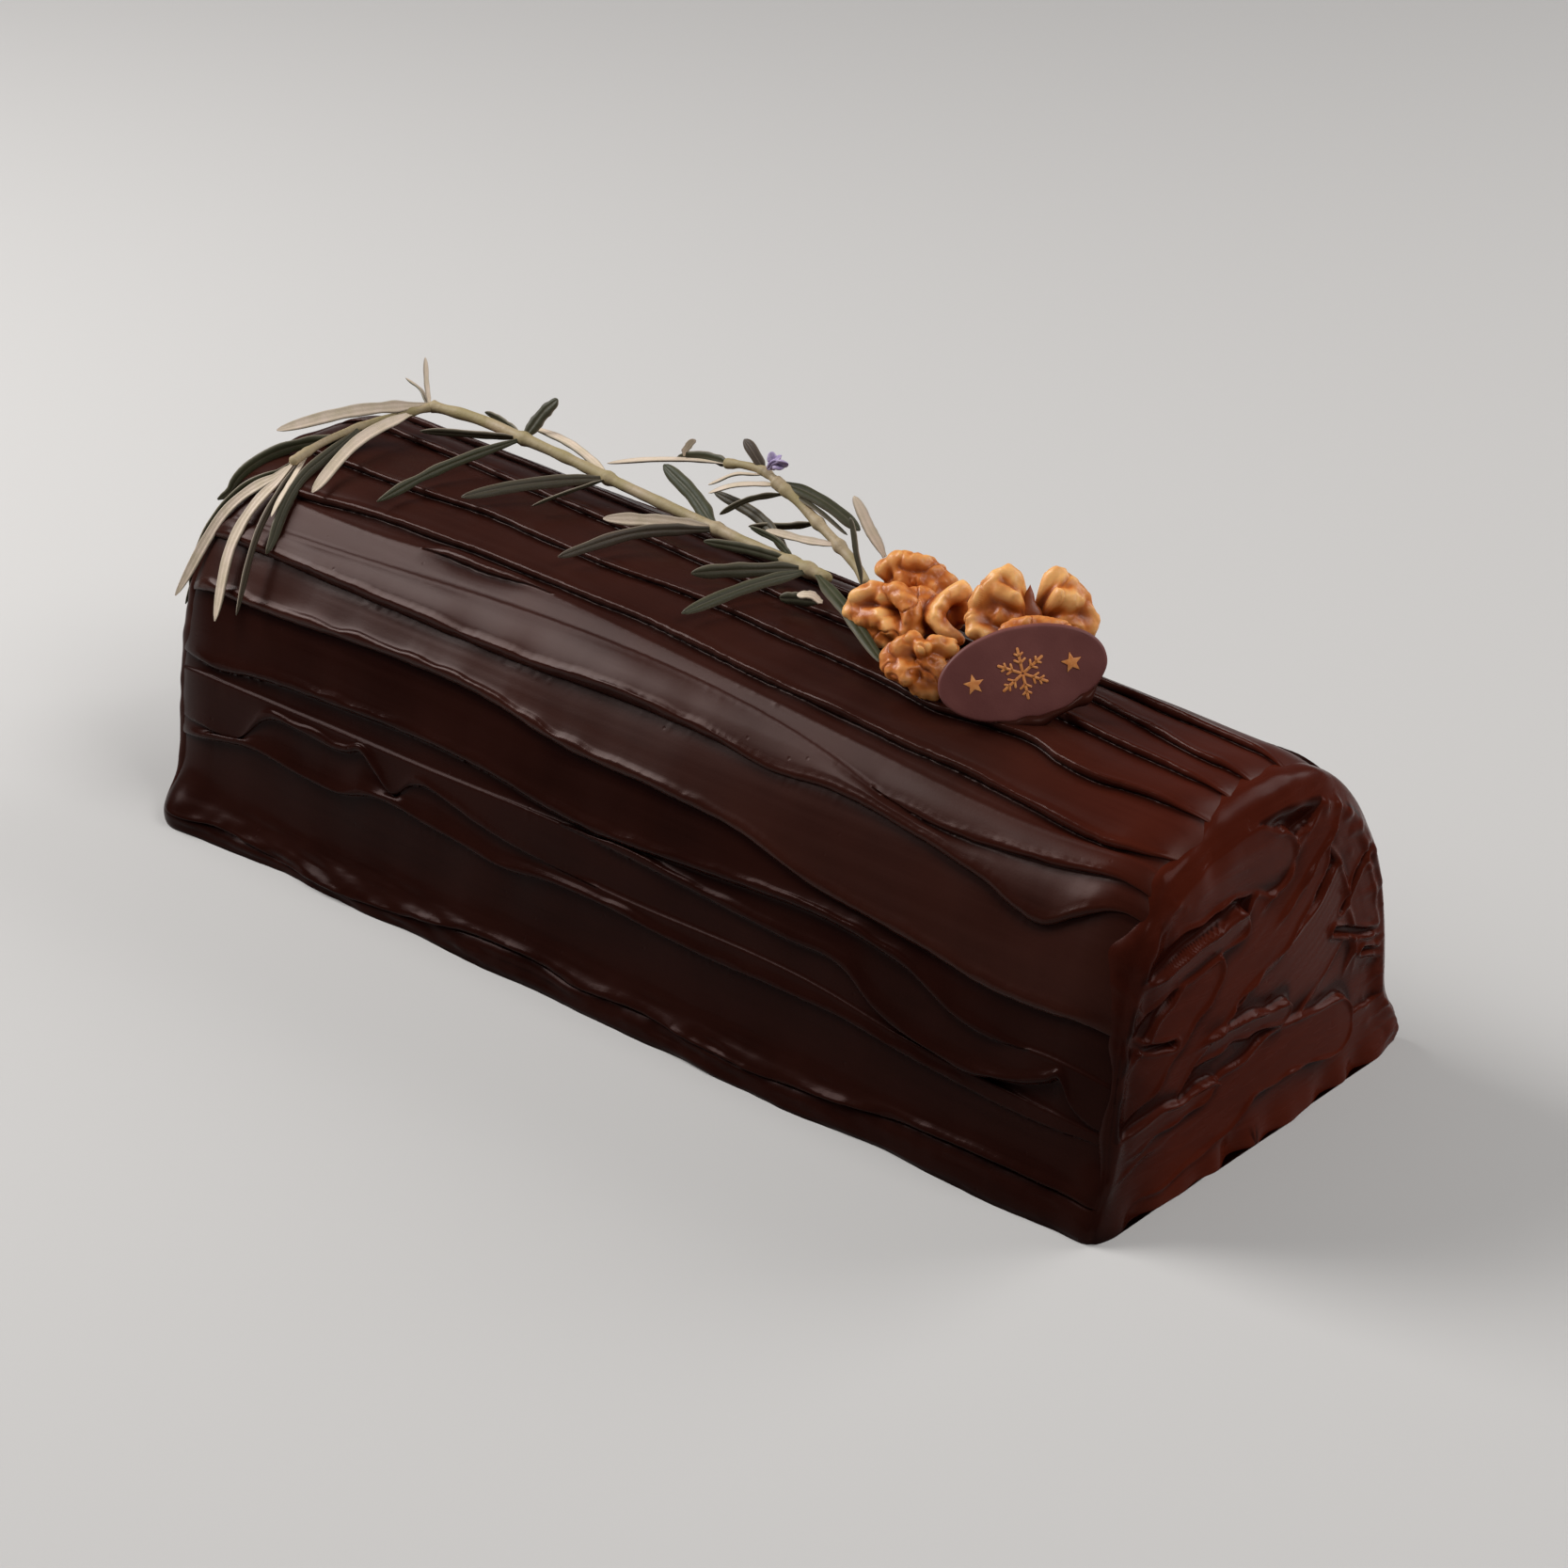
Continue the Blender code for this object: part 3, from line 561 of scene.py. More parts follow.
# ---------------------------------------------------------------------------------------------
# The two plastered ends: ganache smeared over the cut face in short strokes that overlap, and
# rolled over the rim, where the strokes of the sides run into it. Made of rings about the middle
# of the base, then rows that fold over the rim and tuck into the sides.
# ---------------------------------------------------------------------------------------------

END_BULGE = 2.0
END_LEVEL = -0.8  # the bare face's height, so that the strokes on it come level with the CAD's
END_COLUMNS, END_RINGS, FOLD_ROWS = 520, 172, 14
LIP_SIZE = 0.70  # half the width of the bead along a stroke
EDGE_SIZE = 0.55  # how softly a stroke's edge meets what is under it
START_RISE, END_RISE, TILT_RISE, LIP_RISE = 1.25, 1.3, 1.3, 1.25
# A stroke: its path across the face as (y, z), half width, lift at its start and end, tilt to its
# left side, lip; the last four times the rises above. They are spread in this order.
NEAR_STROKES = (
    (((-46, 6), (0, 6), (48, 7)), 8.0, 0.2, 0.5, 0.2, 0.2),
    (((-30, 20), (2, 31), (26, 42), (38, 54)), 10.5, 0.3, 0.9, 0.5, 0.4),
    (((40, 22), (44, 34), (40, 48)), 6.0, 0.4, 0.8, 0.3, 0.5),
    (((44, 24), (37, 47), (30, 62), (24, 68)), 4.5, 0.9, 1.3, -0.3, 0.8),
    (((-42, 24), (-18, 43), (0, 51), (15, 62)), 9.2, 0.4, 1.5, -0.5, 0.8),
    (((0, 52), (10, 60), (17, 66), (23, 71)), 3.6, 0.9, 2.0, -0.5, 0.9),
    (((-36, 66), (-22, 70), (-4, 69.5), (4, 66.5)), 7.2, 1.5, 1.2, 0.7, 0.9),
    (((-48, 26), (-36, 36), (-25, 46), (-20, 50)), 5.6, 0.7, 1.6, -0.4, 0.8),
    (((-45, 49), (-28, 54), (-9, 57)), 3.4, 1.0, 2.0, 0.6, 0.8),
    (((-52, 14), (-38, 18), (-18, 19)), 4.6, 0.6, 1.5, 0.4, 0.7),
    (((-27, 30), (-10, 31.5), (8, 29)), 2.7, 0.9, 1.9, 0.5, 0.8),
    (((-48, 8), (-20, 13), (6, 19), (29, 16.5)), 6.4, 0.4, 2.0, -0.6, 0.9),
    (((49, 32), (39, 35), (28, 40)), 1.1, 0.8, -0.5, 0.3, 0.8),
    (((43, 58), (36, 52), (31, 44)), 1.0, 0.9, -0.4, 0.3, 0.7),
    (((50, 24), (45, 28), (40, 30)), 0.9, 0.8, -0.3, 0.2, 0.7),
    (((-44, 44), (-38, 40), (-30, 38)), 1.0, 0.6, -0.1, 0.2, 0.6),
)
FAR_STROKES = (
    (((44, 6), (0, 5), (-46, 8)), 8.0, 0.3, 0.6, 0.2, 0.3),
    (((40, 18), (10, 32), (-20, 50), (-34, 62)), 11.0, 0.3, 1.2, 0.5, 0.7),
    (((44, 34), (24, 48), (4, 62), (-6, 72)), 8.5, 0.6, 1.5, -0.5, 0.8),
    (((34, 62), (14, 71), (-16, 70)), 6.5, 1.2, 1.6, 0.6, 0.9),
    (((38, 12), (8, 18), (-22, 28), (-40, 42)), 6.5, 0.6, 1.8, -0.5, 0.9),
    (((20, 36), (2, 44), (-12, 52)), 3.4, 1.0, 1.9, 0.5, 0.8),
    (((46, 10), (20, 9), (-30, 16)), 5.5, 0.6, 1.8, 0.5, 0.8),
)
# The rolled rim round each end: (angle, how far it reaches along the side, how proud it stands)
NEAR_RIM = ((0, 2.0, 0.6), (25, 3.0, 0.9), (42, 4.0, 1.1), (55, 8.5, 1.5), (64, 9.0, 1.7), (78, 7.0, 1.3),
            (92, 9.0, 1.4), (108, 11, 1.5), (125, 8.0, 1.6), (145, 6.5, 1.4), (165, 5.0, 1.2),
            (180, 3, 0.8))
FAR_RIM = ((0, 4.0, 1.0), (25, 5.5, 1.2), (45, 6.0, 1.1), (60, 5.0, 1.2), (80, 7.0, 1.1), (100, 6.0, 1.2),
           (125, 7.5, 1.4), (150, 6.0, 1.3), (180, 4.0, 1.0))


def spread_stroke(height, y, z, path, half_width, start, end, tilt, lip, seed):
    """The face's height after one palette stroke. Within half a width of the path the height becomes
    the stroke's own: rising from start to end, tilted to one side and finely ribbed along it. A bead
    of height lip * exp(-((distance - half width) / LIP_SIZE)^2) runs along its edge and round its
    end; its first third fades in."""
    points = np.array(path, float)
    run = np.concatenate([[0], np.cumsum(np.linalg.norm(np.diff(points, axis=0), axis=1))])
    at = np.linspace(0, run[-1], 60)
    line = np.stack([smooth_through(at, list(zip(run, points[:, i]))) for i in (0, 1)], axis=1)
    distance, run_at, across = np.full(y.shape, np.inf), 0 * y, 0 * y
    for here, span, ran in zip(line, np.diff(line, axis=0), at):
        along = np.clip(((y - here[0]) * span[0] + (z - here[1]) * span[1]) / (span @ span), 0, 1)
        off_y, off_z = y - here[0] - along * span[0], z - here[1] - along * span[1]
        away = np.hypot(off_y, off_z)
        closer = away < distance
        distance = np.where(closer, away, distance)
        run_at = np.where(closer, ran + along * at[1], run_at)
        across = np.where(closer, (span[0] * off_z - span[1] * off_y) / np.linalg.norm(span), across)
    share = np.clip(run_at / run[-1], 0, 1)
    ragged = half_width * (1 + 0.05 * waves(run_at, across * 0, 13, 9, seed))
    fade = smoothstep(0.0, 0.35, share)
    inside = smoothstep(ragged + EDGE_SIZE, ragged - EDGE_SIZE, distance) * fade
    ribs = 0.015 * waves(run_at, across, 60, 2.2, seed + 1)
    own = END_LEVEL + start + (end - start) * share + tilt * across / half_width + ribs
    bead = lip * np.exp(-(((distance - ragged) / LIP_SIZE) ** 2)) * fade
    bead = bead * (0.8 + 0.25 * waves(run_at + across, across, 11, 9, seed + 2))
    return height * (1 - inside) + own * inside + bead


def smoothed(height):
    """The mean of the heights about 3 mm around, from twelve passes over neighbours two steps off."""
    for _ in range(12):
        height = (height + np.roll(height, 2, 0) + np.roll(height, -2, 0)) / 3
        height = (height + np.roll(height, 2, 1) + np.roll(height, -2, 1)) / 3
    return height


def plastered_end(name, side, strokes, rim, seed, material):
    """Rings at x = side * (HALF_LENGTH + END_BULGE * sqrt(1 - ring^2) + height), then rows over the
    rim, which slope from proud above the side's form to a little below it. What stands above or
    below the height's local mean is marked as lip or crease."""
    angle = np.linspace(0, 180, END_COLUMNS)[None, :]
    ring = np.linspace(1 / END_RINGS, 1, END_RINGS)[:, None]
    rim_y, rim_z = log_section(side * HALF_LENGTH + 0 * angle, angle)
    y, z = ring * rim_y, ring * rim_z
    height = END_LEVEL + 0.35 * waves(y, z, 30, 22, seed)
    for number, (path, half_width, start, end, tilt, lip) in enumerate(strokes):
        height = spread_stroke(height, y, z, path, half_width, START_RISE * start, END_RISE * end,
                               TILT_RISE * tilt, LIP_RISE * lip, seed + 10 * number)
    # Marks below 0 darken the colour in the material as painted shade in the creases; marks above 0 tighten
    # the gloss.
    marks = np.clip((height - smoothed(height)) / 0.5, -1, 1)
    marks = np.concatenate([marks.reshape(-1), np.zeros(FOLD_ROWS * END_COLUMNS + 1)])
    from_rim = (1 - ring) * np.hypot(rim_y, rim_z)
    round_rim = 0.5 * np.radians(angle) * np.hypot(rim_y, rim_z)
    reach = smooth_through(angle, [(a, r) for a, r, _ in rim])
    reach = reach * (1 + 0.18 * waves(round_rim, 0 * angle, 14, 9, seed + 3))
    proud = smooth_through(angle, [(a, p) for a, _, p in rim])
    proud = proud * np.clip(1 + 0.40 * waves(round_rim, 0 * angle, 15, 9, seed + 5), 0.15, 2)
    torn = smoothstep(0.2, 1.3, waves(round_rim, 0 * angle, 16, 9, seed + 6))
    pulled = 0.18 * waves(round_rim, 0 * angle, 4.6, 9, seed + 4) * smoothstep(0.1, 0.9, proud)
    level = smoothstep(0, 10, rim_z)
    crest = np.exp(-((from_rim / 2.2) ** 2)) * proud * level
    clods = 0.30 * torn * np.maximum(0, waves(y, z, 6, 6, seed + 7)) * np.exp(-((from_rim / 6) ** 2))
    clods = clods + pulled * np.exp(-((from_rim / 5) ** 2)) * level
    height = height * smoothstep(-1, 5, from_rim) + 0.6 * crest + clods
    foot = 1.3 * np.exp(-((z / 5) ** 2)) * (1 + 0.35 * waves(y, 0 * y, 15, 9, seed + 8))
    height = height * smoothstep(-2, 4, z) + foot
    x = HALF_LENGTH + END_BULGE * np.sqrt(1 - ring * ring) + height
    face = np.stack([side * x, y * (1 + 0.4 * crest / 60), z * (1 + 0.4 * crest / 75)], axis=-1)
    over = np.linspace(0, 1, FOLD_ROWS + 1)[1:, None]
    fold_x = HALF_LENGTH - over * reach + (1 - over) * 0.6 * proud * level
    lift = proud * (1 - smoothstep(0.1, 1.0, over)) - 1.3 * over**2
    lift = lift + 0.20 * torn * np.maximum(0, waves(fold_x, round_rim, 6, 4.5, seed + 9)) * (1 - over)
    lift = lift + pulled * (1 - 0.6 * over)
    over_y, over_z = log_section(side * np.minimum(fold_x, HALF_LENGTH), angle, lift * level)
    fold = np.stack([side * fold_x, over_y, over_z], axis=-1)
    points = swollen(np.concatenate([face, fold]))
    pole = np.array([[side * (HALF_LENGTH + END_BULGE + 1.0), 0, 0]])
    faces = grid_faces(len(points), END_COLUMNS, wrap_columns=True)
    here = np.arange(END_COLUMNS)
    fan = np.stack([here, (here + 1) % END_COLUMNS, np.full(END_COLUMNS, points[..., 0].size)], axis=-1)
    if side < 0:
        faces = faces[:, ::-1]
    else:
        fan = fan[:, ::-1]
    every = faces.tolist() + fan.tolist()
    points = np.concatenate([points.reshape(-1, 3), pole])
    marked(piece(name, points, every, material, "ganache", "cake_log"), "lip", marks)


# The near end keeps the darker browns of painted shade along its front edge; away from it the redder browns
# of a painted reflection take over.
def away_from_front(nodes, links):
    return region(nodes, links, 1, -50, -28)


SLANTED = (1, 0.14, 1)
end_ganache = ganache("ganache near end", SHADED_BROWNS, 0.04, 0.26, SLANTED, (math.radians(-38), 0, 0),
                      near=(END_RED_REFLECTION_BROWNS, away_from_front), tint=(1.0, 0.50, 0.42), coat_weight=0.04)
far_ganache = ganache("ganache far end", TOP_BROWNS, 0.06, 0.32, SLANTED, (math.radians(35), 0, 0))
plastered_end("ganache_end_near", 1, NEAR_STROKES, NEAR_RIM, 500, end_ganache)
plastered_end("ganache_end_far", -1, FAR_STROKES, FAR_RIM, 900, far_ganache)


# ---------------------------------------------------------------------------------------------
# The plaque: an oval tablet of dark chocolate, cast flat and matt, pushed on edge into the coat,
# which has risen in a thin lip along its foot. Its print is a plain winter motif in orange-gold
# cocoa butter, a touch proud: a six-armed snow crystal between two small stars.
# ---------------------------------------------------------------------------------------------

SPOT = np.array((70.0, 0.0, 88.0))
FACING, TILT = math.radians(41.3), math.radians(27.5)
PLAQUE_CENTRE = np.array((85.2, -7.0, 95.4))
PLAQUE_WIDTH, PLAQUE_HEIGHT, PLAQUE_THICKNESS = 36.5, 20.0, 2.6
PLAQUE_ROLL, PLAQUE_LEAN = math.radians(13), math.radians(20)
PLAQUE_EDGE = 0.7  # radius of its softened edge
PLAQUE_SIDES = 200
PRINT_PROUD = 0.16


def facing_frame(lean, roll=0.0):
    """(right, up, outwards) unit vectors of something that faces the front right, leaning back."""
    right = np.array((math.cos(FACING), math.sin(FACING), 0.0))
    outwards = np.array(
        (math.sin(FACING) * math.cos(lean), -math.cos(FACING) * math.cos(lean), math.sin(lean))
    )
    up = np.cross(outwards, right)
    return (
        right * math.cos(roll) + up * math.sin(roll),
        up * math.cos(roll) - right * math.sin(roll),
        outwards,
    )


def closed_rings(rings):
    """(points, faces) of a closed skin: rings of points, each joined to the next, and a pole at the
    middle of the first and of the last. Its faces are turned outwards by the sign of its volume."""
    count, sides = rings.shape[:2]
    poles = rings[[0, -1]].mean(axis=1)
    points = np.concatenate([rings.reshape(-1, 3), poles])
    quads = grid_faces(count, sides, wrap_columns=True)
    here = np.arange(sides)
    there = (here + 1) % sides
    last = (count - 1) * sides
    fans = np.concatenate([
        np.stack([there, here, np.full(sides, count * sides)], axis=-1),
        np.stack([last + here, last + there, np.full(sides, count * sides + 1)], axis=-1),
    ])
    whole = np.concatenate([quads[:, :3], quads[:, [0, 2, 3]], fans])
    if np.linalg.det(points[whole] - points.mean(axis=0)).sum() < 0:
        quads, fans = quads[:, ::-1], fans[:, ::-1]
    return points, quads.tolist() + fans.tolist()


def joined(shapes):
    """Several (points, faces) as one."""
    points, faces, first = [], [], 0
    for shape, shape_faces in shapes:
        faces += [[first + corner for corner in face] for face in shape_faces]
        points.append(shape)
        first += len(shape)
    return np.concatenate(points), faces


def on_plaque(a, b, depth):
    """Places on the plaque: a to its right, b up it, depth outwards from its middle."""
    right, up, outwards = facing_frame(PLAQUE_LEAN, PLAQUE_ROLL)
    a, b, depth = (np.asarray(value, float)[..., None] for value in (a, b, depth))
    return PLAQUE_CENTRE + a * right + b * up + depth * outwards


def plaque_shape():
    """Ovals from the middle of the back, round the softened edge, to the middle of the front. The
    face dishes by a tenth of a millimetre and its outline is a little uneven."""
    half = PLAQUE_THICKNESS / 2
    flat = np.linspace(0.04, 1, 14)[:-1]
    bend = np.linspace(-math.pi / 2, math.pi / 2, 13)
    level = PLAQUE_EDGE + 0 * flat
    inset = np.concatenate([level, PLAQUE_EDGE * (1 - np.cos(bend)), level])
    share = np.concatenate([flat, 0 * bend + 1, flat[::-1]])[:, None]
    side = np.concatenate([-1 + 0 * flat, np.sin(bend), 1 + 0 * flat])[:, None]
    depth = np.sign(side) * (half - PLAQUE_EDGE) + side * PLAQUE_EDGE
    turn = np.linspace(0, 2 * math.pi, PLAQUE_SIDES, endpoint=False)[None, :]
    uneven = 0.03 * waves(30 * np.cos(turn), 30 * np.sin(turn), 16, 16, 41)
    a = (PLAQUE_WIDTH / 2 - inset[:, None] + uneven) * share * np.cos(turn)
    b = (PLAQUE_HEIGHT / 2 - inset[:, None] + uneven) * share * np.sin(turn)
    dish = 0.05 * waves(a, b, 20, 12, 42) - 0.05 * (1 - share**2)
    return closed_rings(on_plaque(a, b, depth + dish * np.sign(side)))


def prism(outline):
    """A flat shape on the plaque's face, from an outline of (a, b): its sides lean in as they rise."""
    outline = np.array(outline, float)
    middle = outline.mean(axis=0)
    face = PLAQUE_THICKNESS / 2
    loops = []
    for depth, share in ((-0.3, 1.0), (PRINT_PROUD * 0.6, 1.0), (PRINT_PROUD, 0.93)):
        loop = middle + (outline - middle) * share
        loops.append(on_plaque(loop[:, 0], loop[:, 1], face + depth))
    return closed_rings(np.array(loops))


def bar(start, heading, length, width):
    """A bar with rounded ends, as an outline."""
    turn = np.radians(np.array((-90, -45, 0, 45, 90, 90, 135, 180, 225, 270)))
    along = np.where(np.arange(10) < 5, length, 0) + np.cos(turn) * width / 2
    across = np.sin(turn) * width / 2
    c, s = math.cos(heading), math.sin(heading)
    return np.stack([start[0] + c * along - s * across, start[1] + s * along + c * across], axis=-1)


def motif():
    """A crystal of six arms with two pairs of twigs each, and a five-pointed star on either side."""
    shapes = []
    for arm in range(6):
        heading = math.radians(30 + 60 * arm)
        toward = np.array((math.cos(heading), math.sin(heading)))
        shapes.append(prism(bar(toward * 0.5, heading, 4.9, 0.62)))
        for out, twig in ((2.3, 1.35), (3.8, 1.0)):
            for side in (-1, 1):
                lean = heading + side * math.radians(55)
                shapes.append(prism(bar(toward * out, lean, twig, 0.5)))
    for a in (-10.6, 10.6):
        corner = np.radians(90 + 36 * np.arange(10))
        reach = np.where(np.arange(10) % 2 == 0, 2.3, 1.0)
        shapes.append(prism(np.stack([a + reach * np.cos(corner), reach * np.sin(corner)], axis=-1)))
    return joined(shapes)


def in_log(points, gap):
    """Nearer the middle of the base than the coat's smooth form and gap."""
    x = np.clip(points[..., 0], -HALF_LENGTH, HALF_LENGTH)
    angle = np.degrees(np.arctan2(points[..., 2], -points[..., 1]))
    y, z = log_section(x, angle)
    return np.hypot(points[..., 1], points[..., 2]) < np.hypot(y, z) + gap


def tube(path, radii, sides=14):
    """Rings round a path, whose ends close to a point."""
    along = np.gradient(path, axis=0)
    along /= np.linalg.norm(along, axis=1)[:, None]
    across = np.cross(along, (0.0, 0.0, 1.0))
    across /= np.linalg.norm(across, axis=1)[:, None]
    out = np.cross(across, along)
    turn = np.linspace(0, 2 * math.pi, sides, endpoint=False)[None, :, None]
    radii = np.broadcast_to(radii, len(path))[:, None, None]
    circle = np.cos(turn) * across[:, None] + np.sin(turn) * out[:, None]
    return closed_rings(path[:, None] + radii * circle)


def risen_lip():
    """A bead where the front of the plaque meets the coat: for each place across the plaque, the
    lowest point of its face that is clear of the coat."""
    across = np.linspace(-9.5, 15.5, 90)
    down = np.linspace(4, -11, 300)
    face = PLAQUE_THICKNESS / 2
    a, b = np.meshgrid(across, down, indexing="ij")
    clear = ~in_log(on_plaque(a, b, face + 0 * a), 0.7)
    lowest = down[np.cumprod(clear, axis=1).sum(axis=1).clip(1, len(down) - 1) - 1]
    oval = -(PLAQUE_HEIGHT / 2) * np.sqrt(np.clip(1 - (across / (PLAQUE_WIDTH / 2)) ** 2, 0, 1))
    lowest = np.maximum(lowest, oval)
    size = 1.25 * (1 + 0.22 * waves(across, 0 * across, 9, 9, 43)) * smoothstep(-9.5, 1, across)
    size = np.maximum(size * smoothstep(15.5, 11, across), 0.04)
    path = on_plaque(across, lowest - 0.5 * size + 0.2 * waves(across, 0 * across, 7, 9, 44), face + 0.3)
    return tube(path, size, 16)


material, nodes, links, shader = shader_of("plaque chocolate")
plain = mapped(nodes, links, (1, 1, 1))
clouds = noise(nodes, links, plain, 90, 3, 0.5)
grain = noise(nodes, links, plain, 1800, 3, 0.6)
links.new(blend(nodes, links, spread(nodes, links, clouds, 0.35, 0.65, 0, 1), (0.130, 0.036, 0.031),
                (0.170, 0.052, 0.044)), shader.inputs["Base Color"])
links.new(spread(nodes, links, clouds, 0.3, 0.7, 0.5, 0.62), shader.inputs["Roughness"])
shader.inputs["Specular IOR Level"].default_value = 0.3
raise_bumps(nodes, links, shader, ((grain, 0.03), (clouds, 0.10)))
piece("plaque_tablet", *plaque_shape(), material, "plaque", "plaque")

material, nodes, links, shader = shader_of("printed cocoa butter")
plain = mapped(nodes, links, (1, 1, 1))
worn = noise(nodes, links, plain, 700, 3, 0.6)
links.new(blend(nodes, links, spread(nodes, links, worn, 0.35, 0.7, 0, 1), (0.62, 0.20, 0.045),
                (0.80, 0.34, 0.10)), shader.inputs["Base Color"])
links.new(spread(nodes, links, worn, 0.3, 0.7, 0.38, 0.55), shader.inputs["Roughness"])
raise_bumps(nodes, links, shader, ((worn, 0.03),))
piece("plaque_motif", *motif(), material, "plaque")
piece("ganache_lip", *risen_lip(), side_ganache, "ganache")


# ---------------------------------------------------------------------------------------------
# The walnuts: five glazed kernel pieces leaning together behind and beside the plaque, bedded in
# the coat. Each is folded like a brain: plump lobes, deep furrows between, cream on the crests and
# dark in the furrows, partly the kernel's own colour and partly painted highlight and painted shade.
# ---------------------------------------------------------------------------------------------

KERNEL_RINGS, KERNEL_SIDES = 150, 190
KERNEL_SOFTNESS = 2.6
KERNEL_BEDDING = 0.2  # how far above the coat's smooth form they end
KERNEL_GAP = 0.15
# Each kernel's depth, outwards from SPOT, and its folds: radius, then a chain of (right, up, outwards)
KERNELS = {
    "walnut_left": (-11.0, (
        (2.3, ((-27.3, 17.0, -4), (-23.6, 18.2, -2), (-21.3, 17.2, -0.5))),
        (2.4, ((-28.4, 13.7, -5), (-26.0, 12.2, -3), (-22.4, 12.2, -0.5))),
        (2.3, ((-18.8, 17.9, 0.5), (-16.7, 14.9, 2.8), (-15.8, 12.1, 3.2))),
        (2.1, ((-23.8, 8.6, -2.5), (-21.3, 7.6, -1))),
        (2.2, ((-20.6, 10.4, 0.8), (-17.8, 8.6, 1.8), (-15.1, 9.4, 2.8))),
        (3.4, ((-14.0, 16.0, -1.5), (-13.0, 12.5, 0.0))),
        (2.7, ((-5.6, 17.6, 5.5),)),
        (1.9, ((-8.2, 16.6, 6.0), (-10.2, 14.0, 6.6), (-10.8, 11.6, 6.8), (-8.9, 9.2, 7.0),
               (-6.4, 7.6, 7.0))),
        (2.2, ((-4.4, 15.0, 3.4), (-3.4, 12.8, 3.0))),
        (4.6, ((-22.0, 13.5, -6), (-15.0, 13.0, -4.5))),
        (4.4, ((-9.0, 12.5, 0.0),)),
    )),
    "walnut_top": (-21.0, (
        (2.2, ((-21.4, 23.4, -1.5), (-18.8, 25.0, 0))),
        (2.5, ((-18.0, 24.8, 0.5), (-15.0, 24.6, 1.5), (-12.0, 23.6, 1.5))),
        (2.3, ((-16.9, 21.2, 1.5), (-14.0, 20.6, 2.5), (-11.4, 19.5, 2.5))),
        (2.3, ((-9.8, 21.9, 1.5), (-7.6, 19.9, 2.0))),
        (2.4, ((-13.0, 18.0, 1.5), (-9.8, 16.9, 2.5))),
        (4.2, ((-17.0, 20.0, -3), (-11.0, 18.5, -2.5))),
        (4.6, ((-13.0, 15.5, -3),)),
    )),
    "walnut_front": (5.0, (
        (2.3, ((-21.0, 2.7, -1.5), (-19.0, 5.0, 0), (-16.2, 6.5, 1.5))),
        (2.5, ((-20.0, 0.9, 0), (-17.4, -0.5, 1.8))),
        (1.9, ((-14.1, 5.0, 3.6),)),
        (2.0, ((-11.4, 6.0, 1.5), (-8.2, 5.0, 1.5))),
        (1.9, ((-15.0, -3.0, 1.0), (-11.6, -4.8, 1.5))),
        (2.9, ((-12.6, 1.5, 1.0), (-10.0, -1.3, 1.0))),
        (4.3, ((-16.0, 1.8, -2.2), (-12.0, 1.0, -2.2))),
    )),
    "walnut_right": (3.0, (
        (2.1, ((-1.8, 14.7, 0), (-0.2, 17.7, 0.5), (2.4, 20.2, 1.0), (4.5, 21.0, 1.0),
               (6.2, 19.4, 1.5))),
        (2.1, ((2.9, 17.2, 2.2), (5.6, 15.8, 2.8))),
        (2.1, ((-2.7, 11.6, 0.5), (-2.4, 8.8, 1.5), (-0.4, 8.0, 2.0))),
        (2.9, ((3.0, 12.4, 0.5), (6.0, 12.0, 0))),
        (2.2, ((13.4, 19.6, 0), (15.1, 20.7, 0), (17.3, 18.8, 0.5), (19.9, 16.2, 0))),
        (2.5, ((15.5, 15.8, 2.4), (18.2, 15.2, 2.2))),
        (2.1, ((21.0, 13.6, 0), (22.0, 10.2, 0), (20.6, 8.2, 0))),
        (2.5, ((16.4, 11.0, 1.0), (19.0, 9.6, 1.0))),
        (4.4, ((2.0, 14.5, -2.5), (1.5, 9.5, -2.5))),
        (4.4, ((17.0, 14.5, -2.5), (17.0, 9.5, -2.5))),
        (5.4, ((5.0, 7.0, -3.5), (10.0, 8.0, -3.5), (14.0, 6.0, -3.5))),
        (5.0, ((3.0, 4.0, -4), (13.0, 3.0, -4))),
    )),
    "walnut_low": (12.0, (
        (1.9, ((4.0, 8.6, -0.5), (8.2, 9.9, 0), (13.2, 9.5, 0), (15.6, 8.7, -0.5))),
        (3.2, ((7.0, 6.0, 0), (11.0, 6.0, 0))),
    )),
}


def field(points, size, seed, count=24):
    """An even random field in space, of about unit height: plane waves of every direction, added up."""
    rng = np.random.default_rng(seed)
    total = 0.0
    for _ in range(count):
        heading = rng.normal(size=3)
        heading *= rng.uniform(0.7, 1.4) / (np.linalg.norm(heading) * size)
        total = total + np.sin(2 * math.pi * (points @ heading) + rng.uniform(0, 2 * math.pi))
    return total * math.sqrt(2 / count)


def in_plaque(points, gap):
    right, up, outwards = facing_frame(PLAQUE_LEAN, PLAQUE_ROLL)
    off = points - PLAQUE_CENTRE
    oval = (off @ right / (PLAQUE_WIDTH / 2 + gap)) ** 2 + (off @ up / (PLAQUE_HEIGHT / 2 + gap)) ** 2
    return (oval < 1) & (np.abs(off @ outwards) < PLAQUE_THICKNESS / 2 + gap)


def in_kernel(points, folds, gap=0.0):
    """Inside the soft union of the folds: each adds exp(s - s (d / r)^2), where d is the distance to
    its chain, and the skin is at 1."""
    total = 0.0
    for radius, chain in folds:
        nearest = np.inf
        for start, stop in zip(chain, chain[1:] if len(chain) > 1 else chain):
            span = stop - start
            share = np.clip((points - start) @ span / max(span @ span, 1e-9), 0, 1)
            off = points - start - share[..., None] * span
            nearest = np.minimum(nearest, (off * off).sum(axis=-1))
        total = total + np.exp(KERNEL_SOFTNESS * (1 - nearest / (radius + gap) ** 2))
    return total > 1


